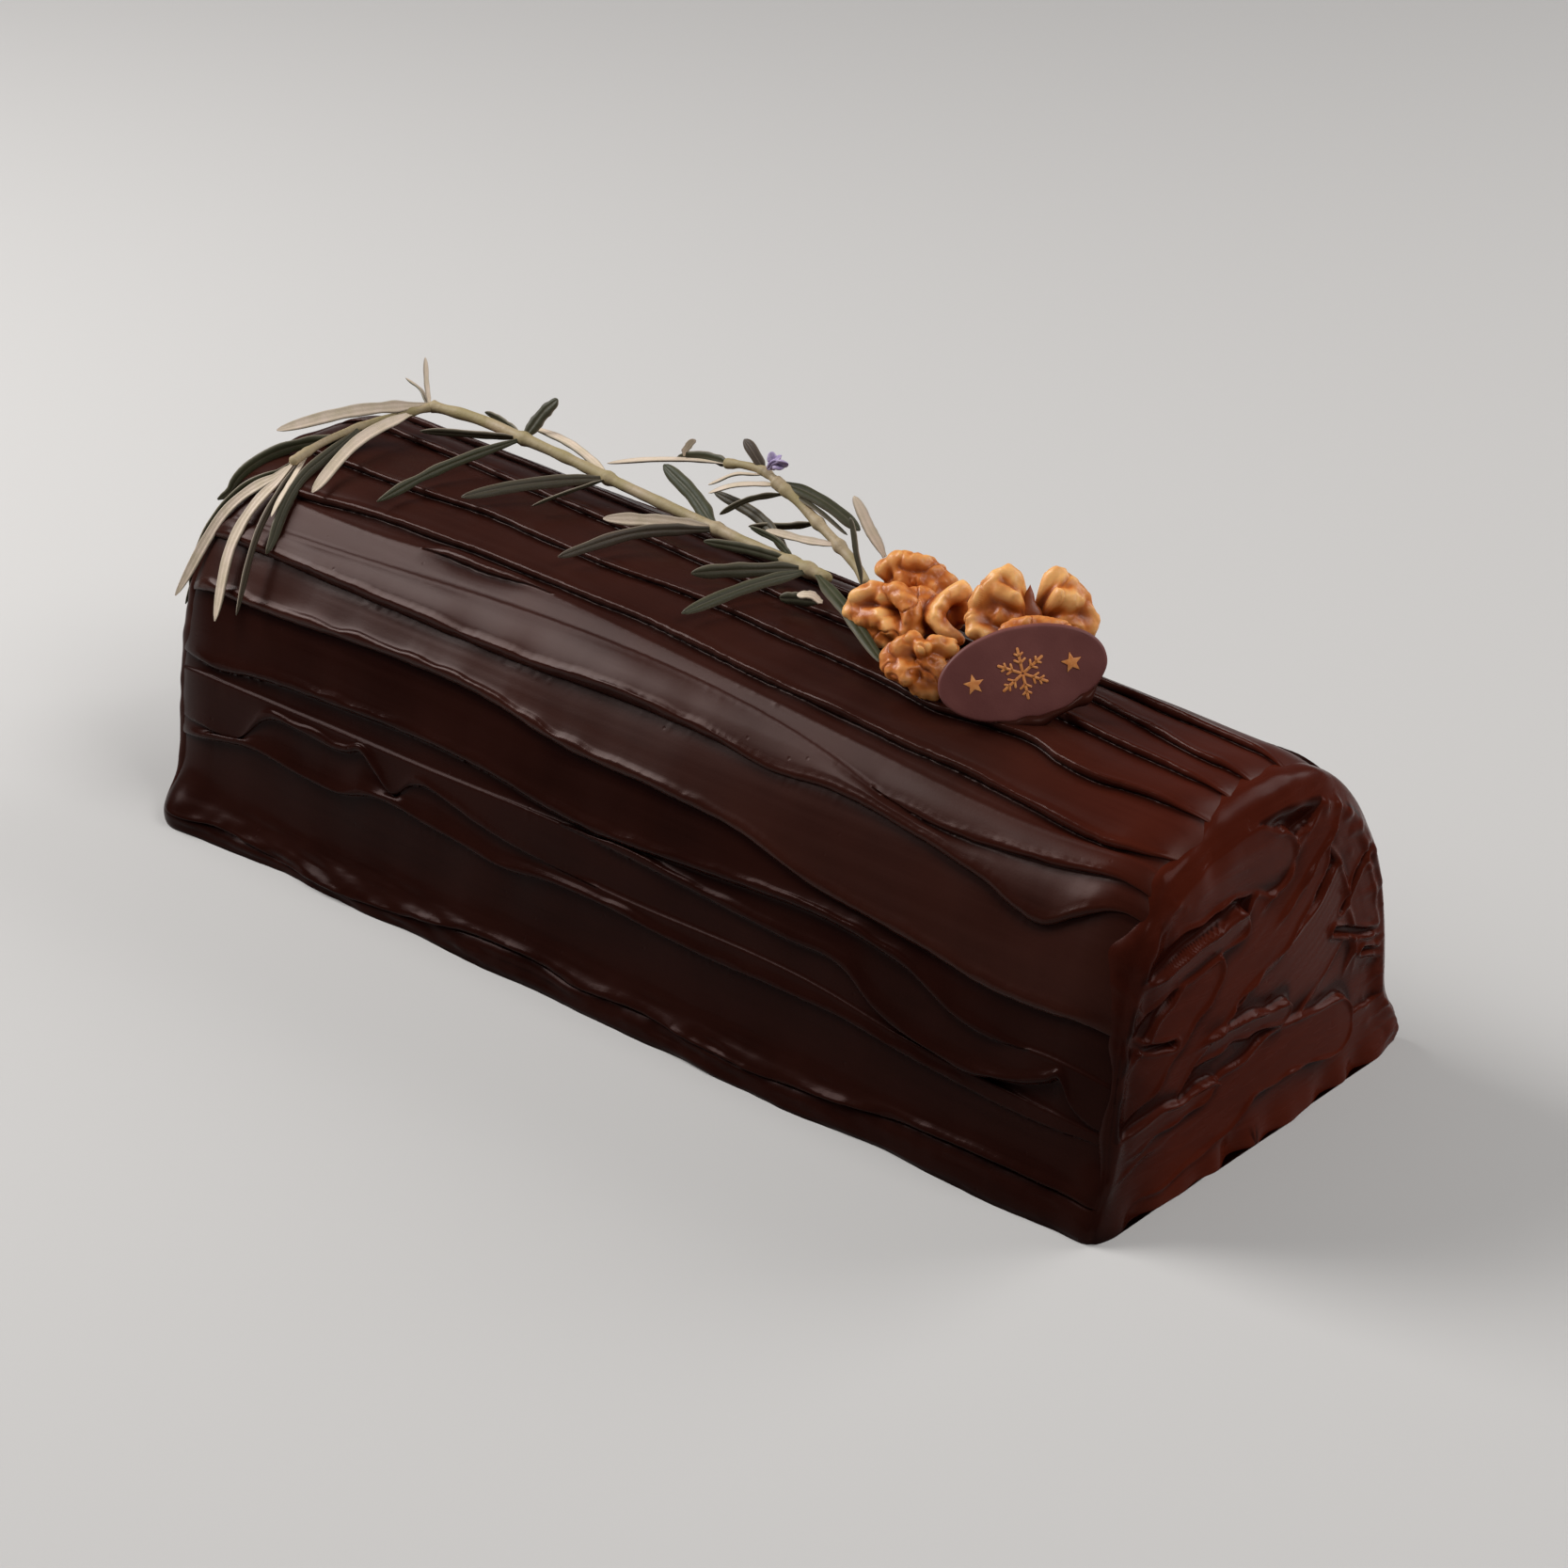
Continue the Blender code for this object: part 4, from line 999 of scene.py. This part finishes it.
def kernel_shape(depth, folds, placed, seed):
    """(points, faces, crest) of a ball of rays from the folds' middle to the last place inside them,
    found by coarse steps and then by halving. Fine furrows follow where a random field is nearly 0."""
    right, up, outwards = facing_frame(TILT)
    base = SPOT + depth * outwards
    axes = np.array((right, up, outwards))
    folds = [(radius, base + np.array(chain, float) @ axes) for radius, chain in folds]
    weights = np.array([radius**3 for radius, _ in folds])
    middle = sum(weight * chain.mean(axis=0) for weight, (_, chain) in zip(weights, folds)) / weights.sum()
    lat = np.linspace(0.012, math.pi - 0.012, KERNEL_RINGS)[:, None, None]
    lon = np.linspace(0, 2 * math.pi, KERNEL_SIDES, endpoint=False)[None, :, None]
    rays = np.cos(lat) * right + np.sin(lat) * (np.cos(lon) * up + np.sin(lon) * outwards)

    def free(points):
        clear = ~in_log(points, KERNEL_BEDDING) & ~in_plaque(points, KERNEL_GAP)
        for other in placed:
            clear &= ~in_kernel(points, other, KERNEL_GAP)
        return clear

    steps = np.arange(0.4, 23.0, 0.35)
    length = np.full(rays.shape[:2], steps[0])
    open_so_far = np.ones(rays.shape[:2], bool)
    for step in steps:
        points = middle + step * rays
        open_so_far &= free(points)
        length = np.where(open_so_far & in_kernel(points, folds), step, length)
    low, high = length, length + 0.35
    for _ in range(7):
        half = (low + high) / 2
        points = middle + half[..., None] * rays
        inside = in_kernel(points, folds) & free(points)
        low, high = np.where(inside, half, low), np.where(inside, high, half)
    placed.append(folds)
    smooth = low
    for _ in range(2):
        smooth = (smooth + np.roll(smooth, 1, 1) + np.roll(smooth, -1, 1)) / 3
        smooth[1:-1] = (smooth[:-2] + smooth[1:-1] + smooth[2:]) / 3
    skin = middle + smooth[..., None] * rays
    folded = field(skin, 13, seed) + 0.2 * field(skin, 4, seed + 1)
    furrow = np.exp(-((folded / 0.14) ** 2))
    wrinkle = field(skin, 3.0, seed + 2)
    relief = 0.16 - 0.38 * furrow + 0.13 * wrinkle + 0.03 * field(skin, 1.1, seed + 3)
    wide = smooth
    for _ in range(9):
        wide = (wide + np.roll(wide, 2, 1) + np.roll(wide, -2, 1)) / 3
        wide[2:-2] = (wide[:-4] + wide[2:-2] + wide[4:]) / 3
    # crest is high on bulges and low in furrows; the material makes the crests cream and the furrows dark,
    # partly the kernel's own colour and partly painted highlight and painted shade.
    crest = np.clip(0.46 + 0.40 * (smooth - wide) - 0.22 * furrow + 0.07 * wrinkle, 0, 1)
    relief = relief * ~in_plaque(skin, 1.0)
    points, faces = closed_rings(skin + relief[..., None] * rays)
    return points, faces, np.concatenate([crest.reshape(-1), [crest[0].mean(), crest[-1].mean()]])


material, nodes, links, shader = shader_of("glazed walnut")
plain = mapped(nodes, links, (1, 1, 1))
clouds = noise(nodes, links, plain, 170, 3, 0.55)
grain = noise(nodes, links, plain, 1500, 3, 0.6)
height = attribute(nodes, "crest")
# Dark in the furrows to cream on the crests: partly the kernel's own colour, partly painted shade and
# painted highlight.
skin = blend(nodes, links, spread(nodes, links, height, 0.08, 0.50, 0, 1), (0.210, 0.040, 0.005),
             (0.530, 0.145, 0.019))
skin = blend(nodes, links, spread(nodes, links, height, 0.42, 0.88, 0, 1), skin, (0.870, 0.450, 0.150))
skin = blend(nodes, links, spread(nodes, links, clouds, 0.48, 0.75, 0, 0.5), skin, (0.400, 0.085, 0.010))
links.new(skin, shader.inputs["Base Color"])
links.new(spread(nodes, links, grain, 0.3, 0.7, 0.36, 0.50), shader.inputs["Roughness"])
shader.inputs["Specular IOR Level"].default_value = 0.30
shader.inputs["Coat Weight"].default_value = 0.10
shader.inputs["Coat Roughness"].default_value = 0.22
shader.inputs["Subsurface Weight"].default_value = 0.12
shader.inputs["Subsurface Radius"].default_value = (1.0, 0.4, 0.15)
shader.inputs["Subsurface Scale"].default_value = 1.6 * MM
raise_bumps(nodes, links, shader, ((grain, 0.05), (clouds, 0.25)))
walnut_material = material

# Each kernel's folds join the list, so that the next ones stop short of them
placed = []
for number, (name, (depth, folds)) in enumerate(KERNELS.items()):
    points, faces, crest = kernel_shape(depth, folds, placed, 700 + 10 * number)
    marked(piece(name + "_kernel", points, faces, walnut_material, "walnut", name), "crest", crest)

def septum_shape():
    """(points, faces) of the papery wall left standing between the halves of the right kernel: flat
    ovals up a slightly wavy path, whose size is 1 - share^1.8."""
    axes = np.array(facing_frame(TILT))
    rise = np.linspace(0, 1, 24)[:, None]
    foot, tip = np.array((9.6, 9.0, 0.5)), np.array((9.0, 18.8, 0.0))
    path = SPOT + 4.5 * axes[2] + (foot * (1 - rise) + tip * rise) @ axes
    path = path + 0.25 * np.sin(7 * rise) * axes[0]
    turn = np.linspace(0, 2 * math.pi, 16, endpoint=False)[None, :, None]
    rise = rise[:, :, None]
    reach = 1.3 * (1 - rise**1.8) * (1 + 0.12 * np.sin(16 * rise + 1)) + 0.02
    oval = 1.9 * np.cos(turn) * axes[0] + 0.55 * np.sin(turn) * axes[2]
    return closed_rings(path[:, None] + reach * oval)


SEPTUM_CREST = 0.12
points, faces = septum_shape()
septum = piece("walnut_right_septum", points, faces, walnut_material, "walnut")
marked(septum, "crest", SEPTUM_CREST + 0 * points[:, 0])


# ---------------------------------------------------------------------------------------------
# The rosemary: one long sprig and one short, laid over the top from under the walnuts. Pale woody
# stems thicken at each joint, where narrow leaves spring: dark above, creased along the middle,
# their edges rolled under, felted cream below. The short one carries a small lilac flower.
# ---------------------------------------------------------------------------------------------

STEM_RADIUS, TWIG_RADIUS = 1.55, 1.05
LEAF_WIDTH = 2.8
LEAF_STEPS = 30
# A leaf: points from root to tip, how far it is rolled over in degrees (0 turns its dark side to the
# front right, 180 its pale one), width as a share of LEAF_WIDTH
LONG_STEMS = (
    (STEM_RADIUS, ((16, 11, 90), (11, 11, 90.2), (-1, 12, 90.2), (-11, 13, 90.2), (-21, 14, 90.3),
                   (-38, 15, 91.0), (-57, 16, 92.0), (-72, 17, 92.8), (-86, 17, 93.8), (-102, 17, 94.6),
                   (-116, 15.5, 94.5))),
    (TWIG_RADIUS, ((-115, 16, 94.5), (-118, 9, 94), (-122, -3, 93), (-124, -14, 91.5),
                   (-124.5, -23, 89.5))),
)
LONG_LEAVES = (
    (((-116, 15, 95), (-123, -3, 97), (-130, -22, 96)), 175, 1.1),
    (((-117, 10, 94), (-115, -10, 93), (-112, -28, 87)), 170, 1.1),
    (((-116, 15, 94), (-121, 19, 99), (-124, 22, 103)), 120, 0.6),
    (((-116, 15, 94), (-123, 18, 96), (-129, 20, 97)), 100, 0.6),
    (((-86, 17, 93.8), (-91, -4, 92.5), (-94, -24, 88.5)), 15, 0.9),
    (((-86, 17, 93.8), (-99, 11, 93.5), (-109, 5, 93)), 50, 0.8),
    (((-86, 17, 94), (-84, 22, 100), (-81, 24, 103)), 20, 1.25),
    (((-86, 17, 93.8), (-96, 20, 94.5), (-104, 22, 94)), 60, 0.7),
    (((-57, 16, 92), (-73, 21, 94.2), (-88, 22, 94.5)), 140, 1.0),
    (((-57, 16, 92), (-68, 2, 92), (-77, -13, 91)), -15, 1.1),
    (((-57, 16, 92), (-59, 5, 92), (-61, -6, 91)), 60, 0.5),
    (((-21, 14, 90.3), (-30, 5, 93), (-39, -5, 94)), 165, 1.1),
    (((-21, 14, 90.3), (-31, -3, 91.5), (-39, -20, 89.5)), 10, 1.05),
    (((-21, 14, 90.3), (-34, 19, 94.5), (-45, 22, 97)), 15, 1.3),
    (((5, 12, 90.3), (-6, 9, 91.5), (-17, 5, 91.5)), 20, 0.9),
    (((5, 12, 90.3), (-3, 13, 93), (-10, 13, 94.5)), 30, 0.6),
    (((9, 11, 90.3), (1, 1, 91.5), (-8, -9, 91)), 0, 1.2),
    (((10, 11, 90.3), (6, -6, 90.5), (1, -22, 88.5)), -10, 1.05),
    (((4, 12, 90.3), (-14, 20, 93), (-32, 25, 93)), 25, 1.0),
    (((13, 10, 90.5), (33, -3, 92), (51, -12, 88.5)), 25, 1.25),
    (((22, 0, 90), (18, -2, 90.5), (14, -4, 90)), 15, 1.1),
    (((24, -1, 91), (22, -4, 93), (20, -5, 93)), 150, 0.8),
    (((-124.5, -22, 89.5), (-137, -36, 75), (-143, -46, 57)), 165, 0.95),
    (((-124.5, -22, 89.5), (-138, -33, 76), (-144, -42, 53)), 40, 0.8),
    (((-124.5, -22, 89.5), (-128, -39, 74), (-125, -49.5, 57)), 160, 1.0),
    (((-124, -20, 90), (-120, -38, 78), (-117, -49.5, 61)), 60, 0.8),
    (((-121, -4, 93), (-119.5, -24, 86), (-116, -40, 74)), 10, 1.0),
    (((-124, -18, 90), (-121, -28, 86), (-119, -35, 81)), 140, 0.6),
    (((-121, -3, 93), (-134, -17, 84.5), (-145, -29, 76)), 15, 1.15),
)
SHORT_STEMS = (
    (1.35, ((24, 14, 90), (19, 17, 91.5), (11, 20, 93.5), (2, 23, 95.5), (-7, 25, 98.5), (-14, 26, 100.6))),
    (TWIG_RADIUS, ((-13, 26, 100.4), (-18, 27, 101.4), (-24, 27, 101.2), (-30, 27, 100.0))),
)
SHORT_LEAVES = (
    (((-29, 27, 100.0), (-48, 29, 95.6), (-69, 28, 88.6)), 120, 0.8),
    (((-28, 27, 100.0), (-38, 29, 98.5), (-48, 30, 95.5)), 30, 0.9),
    (((-45, 29, 97), (-44.5, 30, 99), (-43, 31, 101)), 160, 0.6),
    (((-17, 27, 101), (-25, 24, 99.5), (-31, 22, 96)), 110, 0.6),
    (((-12, 26, 99.8), (-22, 23, 98.5), (-29, 20, 95)), 130, 0.6),
    (((-10, 25, 98.6), (-17, 20, 96.5), (-22, 16, 93)), 30, 0.6),
    (((-18, 27, 101.4), (-22, 28, 104.5), (-26, 29, 106.5)), 20, 0.95),
    (((-13, 26, 100.5), (-1, 27, 99.5), (11, 27, 95)), 20, 1.2),
    (((-10, 26, 99.5), (1, 25, 98), (9, 25, 94)), 60, 0.7),
    (((2, 23, 95.5), (-6, 21, 93.5), (-14, 17, 92)), 50, 0.8),
    (((11, 20, 93.5), (3, 17, 94), (-6, 14, 94.5)), 150, 0.7),
    (((26, 10, 91.5), (22, 12, 99), (19, 14, 105)), 60, 0.7),
    (((26, 18, 96), (20, 19, 102), (15, 20, 107)), 170, 0.95),
)
# Across a leaf, all the way round: side as a share of its half width, height likewise, how pale
LEAF_SECTION = (
    (-1.00, -0.10, 0.25), (-0.86, 0.14, 0.05), (-0.50, 0.27, 0.0), (-0.16, 0.25, 0.0), (0.0, 0.10, 0.1),
    (0.16, 0.25, 0.0), (0.50, 0.27, 0.0), (0.86, 0.14, 0.05), (1.00, -0.10, 0.25), (0.94, -0.30, 0.55),
    (0.74, -0.38, 0.8), (0.56, -0.29, 1.0), (0.20, -0.24, 1.0), (0.0, -0.32, 0.9), (-0.20, -0.24, 1.0),
    (-0.56, -0.29, 1.0), (-0.74, -0.38, 0.8), (-0.94, -0.30, 0.55),
)


def through(points, count):
    """A smooth path through given points, as count points at even spacing."""
    points = np.array(points, float)
    run = np.concatenate([[0], np.cumsum(np.linalg.norm(np.diff(points, axis=0), axis=1))])
    where = np.linspace(0, run[-1], count)
    return np.stack([smooth_through(where, list(zip(run, points[:, i]))) for i in range(3)], axis=1)


def lifted(path, room):
    """The path moved off the cake, away from the middle of its base, where it comes too near."""
    x = np.clip(path[:, 0], -HALF_LENGTH, HALF_LENGTH)
    y, z = log_section(x, np.degrees(np.arctan2(path[:, 2], -path[:, 1])))
    far = np.hypot(path[:, 1], path[:, 2])
    short = np.maximum(room - (far - np.hypot(y, z)), 0)
    return path * np.stack([1 + 0 * far, 1 + short / far, 1 + short / far], axis=1)


def leaf(points, rolled, width, seed):
    """(points, faces, paleness) of a blade: LEAF_SECTION swept along its path. It widens from a narrow
    foot within a quarter of its length and rounds off over the last fifth."""
    rng = np.random.default_rng(seed)
    share = np.linspace(0, 1, LEAF_STEPS)
    share = share + 0.10 * np.sin(math.pi * share) * share
    path = lifted(through(points, LEAF_STEPS), 1.5)
    bow = rng.uniform(-0.5, 0.5) * np.sin(math.pi * share) + 0.15 * rng.uniform(-1, 1) * np.sin(9 * share)
    along = np.gradient(path, axis=0)
    along /= np.linalg.norm(along, axis=1)[:, None]
    side = np.cross(along, facing_frame(TILT)[2])
    side /= np.linalg.norm(side, axis=1)[:, None]
    out = np.cross(side, along)
    path = path + bow[:, None] * side
    turn = np.radians(rolled + rng.uniform(-8, 8) + 18 * (share - 0.4) * rng.uniform(-1, 1))[:, None]
    side, out = side * np.cos(turn) + out * np.sin(turn), out * np.cos(turn) - side * np.sin(turn)
    half = LEAF_WIDTH / 2 * width * (0.40 + 0.60 * smoothstep(0.0, 0.28, share))
    half = half * np.sqrt(np.clip(1 - (np.clip((share - 0.78) / 0.222, 0, 1)) ** 2.2, 0.0, 1))
    half = half * (1 + 0.05 * waves(share * 30, 0 * share, 7, 9, seed))
    across, height, pale = np.array(LEAF_SECTION).T
    half = half[:, None, None]
    rings = path[:, None] + half * (across[:, None] * side[:, None] + height[:, None] * out[:, None])
    points, faces = closed_rings(rings)
    pale = np.broadcast_to(pale, (LEAF_STEPS, len(pale)))
    return points, faces, np.concatenate([pale.reshape(-1), [0.5, 0.5]])


def sprig(name, stems, leaves, seed, *replaced):
    """A stem piece, whose radius grows by a third at each joint, and a piece with all its leaves."""
    joints = np.array([points[0] for points, _, _ in leaves], float)
    shapes = []
    for number, (radius, points) in enumerate(stems):
        path = lifted(through(points, 14 * len(points)), radius + 0.9)
        near = np.linalg.norm(path[:, None] - joints, axis=-1).min(axis=1)
        size = radius * (0.88 + 0.36 * np.exp(-((near / 1.5) ** 2)))
        size = size * (1 + 0.04 * waves(path[:, 0], path[:, 1], 9, 9, seed + number))
        size[[0, -1]] *= 0.6
        shapes.append(tube(path, size, 18))
    piece(name + "_stem", *joined(shapes), stem_material, "rosemary", *replaced)
    blades = [leaf(*one, seed + 10 + number) for number, one in enumerate(leaves)]
    points, faces = joined([blade[:2] for blade in blades])
    obj = piece(name + "_leaves", points, faces, leaf_material, "rosemary", *replaced)
    marked(obj, "pale", np.concatenate([pale for *_, pale in blades]))
    rng = np.random.default_rng(seed)
    tints = [np.full(len(pale), rng.uniform(0, 1)) for *_, pale in blades]
    marked(obj, "tint", np.concatenate(tints))


stem_material, nodes, links, shader = shader_of("rosemary stem")
plain = mapped(nodes, links, (1, 1, 1))
patches = noise(nodes, links, plain, 110, 3, 0.55)
grain = noise(nodes, links, plain, 1300, 3, 0.6)
patchy = spread(nodes, links, patches, 0.38, 0.66, 0, 1)
wood = blend(nodes, links, patchy, (0.38, 0.29, 0.18), (0.29, 0.23, 0.11))
wood = blend(nodes, links, spread(nodes, links, grain, 0.5, 0.8, 0, 0.45), wood, (0.20, 0.13, 0.06))
links.new(wood, shader.inputs["Base Color"])
links.new(spread(nodes, links, patches, 0.3, 0.7, 0.5, 0.65), shader.inputs["Roughness"])
shader.inputs["Specular IOR Level"].default_value = 0.3
raise_bumps(nodes, links, shader, ((patches, 0.25), (grain, 0.08)))

leaf_material, nodes, links, shader = shader_of("rosemary leaf")
plain = mapped(nodes, links, (1, 1, 1))
mottle = noise(nodes, links, plain, 260, 3, 0.6)
felt = noise(nodes, links, plain, 2400, 3, 0.6)
top = blend(nodes, links, attribute(nodes, "tint"), (0.032, 0.036, 0.013), (0.058, 0.040, 0.028))
top = blend(nodes, links, spread(nodes, links, mottle, 0.4, 0.75, 0, 0.4), top, (0.060, 0.058, 0.036))
patchy = spread(nodes, links, mottle, 0.35, 0.7, 0, 1)
below = blend(nodes, links, patchy, (0.66, 0.53, 0.42), (0.56, 0.46, 0.33))
links.new(blend(nodes, links, attribute(nodes, "pale"), top, below), shader.inputs["Base Color"])
links.new(spread(nodes, links, mottle, 0.3, 0.7, 0.42, 0.6), shader.inputs["Roughness"])
shader.inputs["Specular IOR Level"].default_value = 0.22
raise_bumps(nodes, links, shader, ((mottle, 0.12), (felt, 0.05)))

sprig("rosemary_long", LONG_STEMS, LONG_LEAVES, 1100, "rosemary_long")
sprig("rosemary_short", SHORT_STEMS, SHORT_LEAVES, 1300, "rosemary_short")

petal_material, nodes, links, shader = shader_of("rosemary flower")
plain = mapped(nodes, links, (1, 1, 1))
veins = noise(nodes, links, plain, 900, 3, 0.6)
links.new(blend(nodes, links, spread(nodes, links, veins, 0.4, 0.65, 0, 1), (0.42, 0.34, 0.50),
                (0.28, 0.20, 0.40)), shader.inputs["Base Color"])
shader.inputs["Roughness"].default_value = 0.6
raise_bumps(nodes, links, shader, ((veins, 0.06),))
# Each petal's tip from (-12, 26, 106): millimetres to the right and up, and how far it is rolled
PETALS = ((-3, 1.5, 10), (0, 1.2, 60), (2.2, 0, 120), (1, -1.5, 30))
petals = [
    leaf(((-16, 26, 103), (-14, 26, 105), (-12 + right, 26, 106 + up)), rolled, 0.9, 1500 + number)[:2]
    for number, (right, up, rolled) in enumerate(PETALS)
]
piece("rosemary_flower", *joined(petals), petal_material, "rosemary")


# ---------------------------------------------------------------------------------------------
# The stage: a plain pale floor, the camera, and three soft lights: one at the left, whose reflection
# draws the sheen and the lips, one behind for the top strokes, and one at the right for the end.
# ---------------------------------------------------------------------------------------------

AZIMUTH, ELEVATION = math.radians(41.32), math.radians(27.46)
camera_data = bpy.data.cameras.new("camera")
camera_data.lens, camera_data.sensor_width = 99.24, 36.0
camera = bpy.data.objects.new("camera", camera_data)
camera.location = (0.5908, -0.6586, 0.4967)
camera.rotation_euler = (math.pi / 2 - ELEVATION, 0, AZIMUTH)
bpy.context.scene.collection.objects.link(camera)
bpy.context.scene.camera = camera

FLOOR_HALF = 3.0
floor_mesh = bpy.data.meshes.new("floor")
floor_mesh.from_pydata(
    [(-FLOOR_HALF, -FLOOR_HALF, 0), (FLOOR_HALF, -FLOOR_HALF, 0), (FLOOR_HALF, FLOOR_HALF, 0),
     (-FLOOR_HALF, FLOOR_HALF, 0)], [], [(0, 1, 2, 3)])
floor_material, nodes, links, shader = shader_of("pale floor")
shader.inputs["Base Color"].default_value = (0.52, 0.505, 0.49, 1)
shader.inputs["Roughness"].default_value = 0.9
shader.inputs["Specular IOR Level"].default_value = 0.1
floor_mesh.materials.append(floor_material)
floor = bpy.data.objects.new("floor", floor_mesh)
bpy.context.scene.collection.objects.link(floor)


def soft_light(name, direction, distance, size, power):
    """A square area light that faces the cake from that direction."""
    data = bpy.data.lights.new(name, "AREA")
    data.shape, data.size, data.energy = "SQUARE", size, power
    light = bpy.data.objects.new(name, data)
    away = np.array(direction) / np.linalg.norm(direction)
    light.location = away * distance
    flat = math.hypot(away[0], away[1])
    light.rotation_euler = (math.atan2(flat, away[2]), 0, math.atan2(away[0], -away[1]))
    bpy.context.scene.collection.objects.link(light)


soft_light("left soft light", (-0.70, -0.26, 0.66), 1.15, 0.6, 13)
soft_light("back soft light", (0.35, 0.75, 0.60), 1.5, 0.8, 9)
soft_light("right soft light", (0.62, -0.02, 0.78), 1.5, 0.7, 9)
world = bpy.data.worlds.new("studio")
world.use_nodes = True
world.node_tree.nodes["Background"].inputs["Color"].default_value = (0.95, 0.96, 1.0, 1)
world.node_tree.nodes["Background"].inputs["Strength"].default_value = 0.12
bpy.context.scene.world = world
bpy.context.scene.view_settings.view_transform = "Standard"
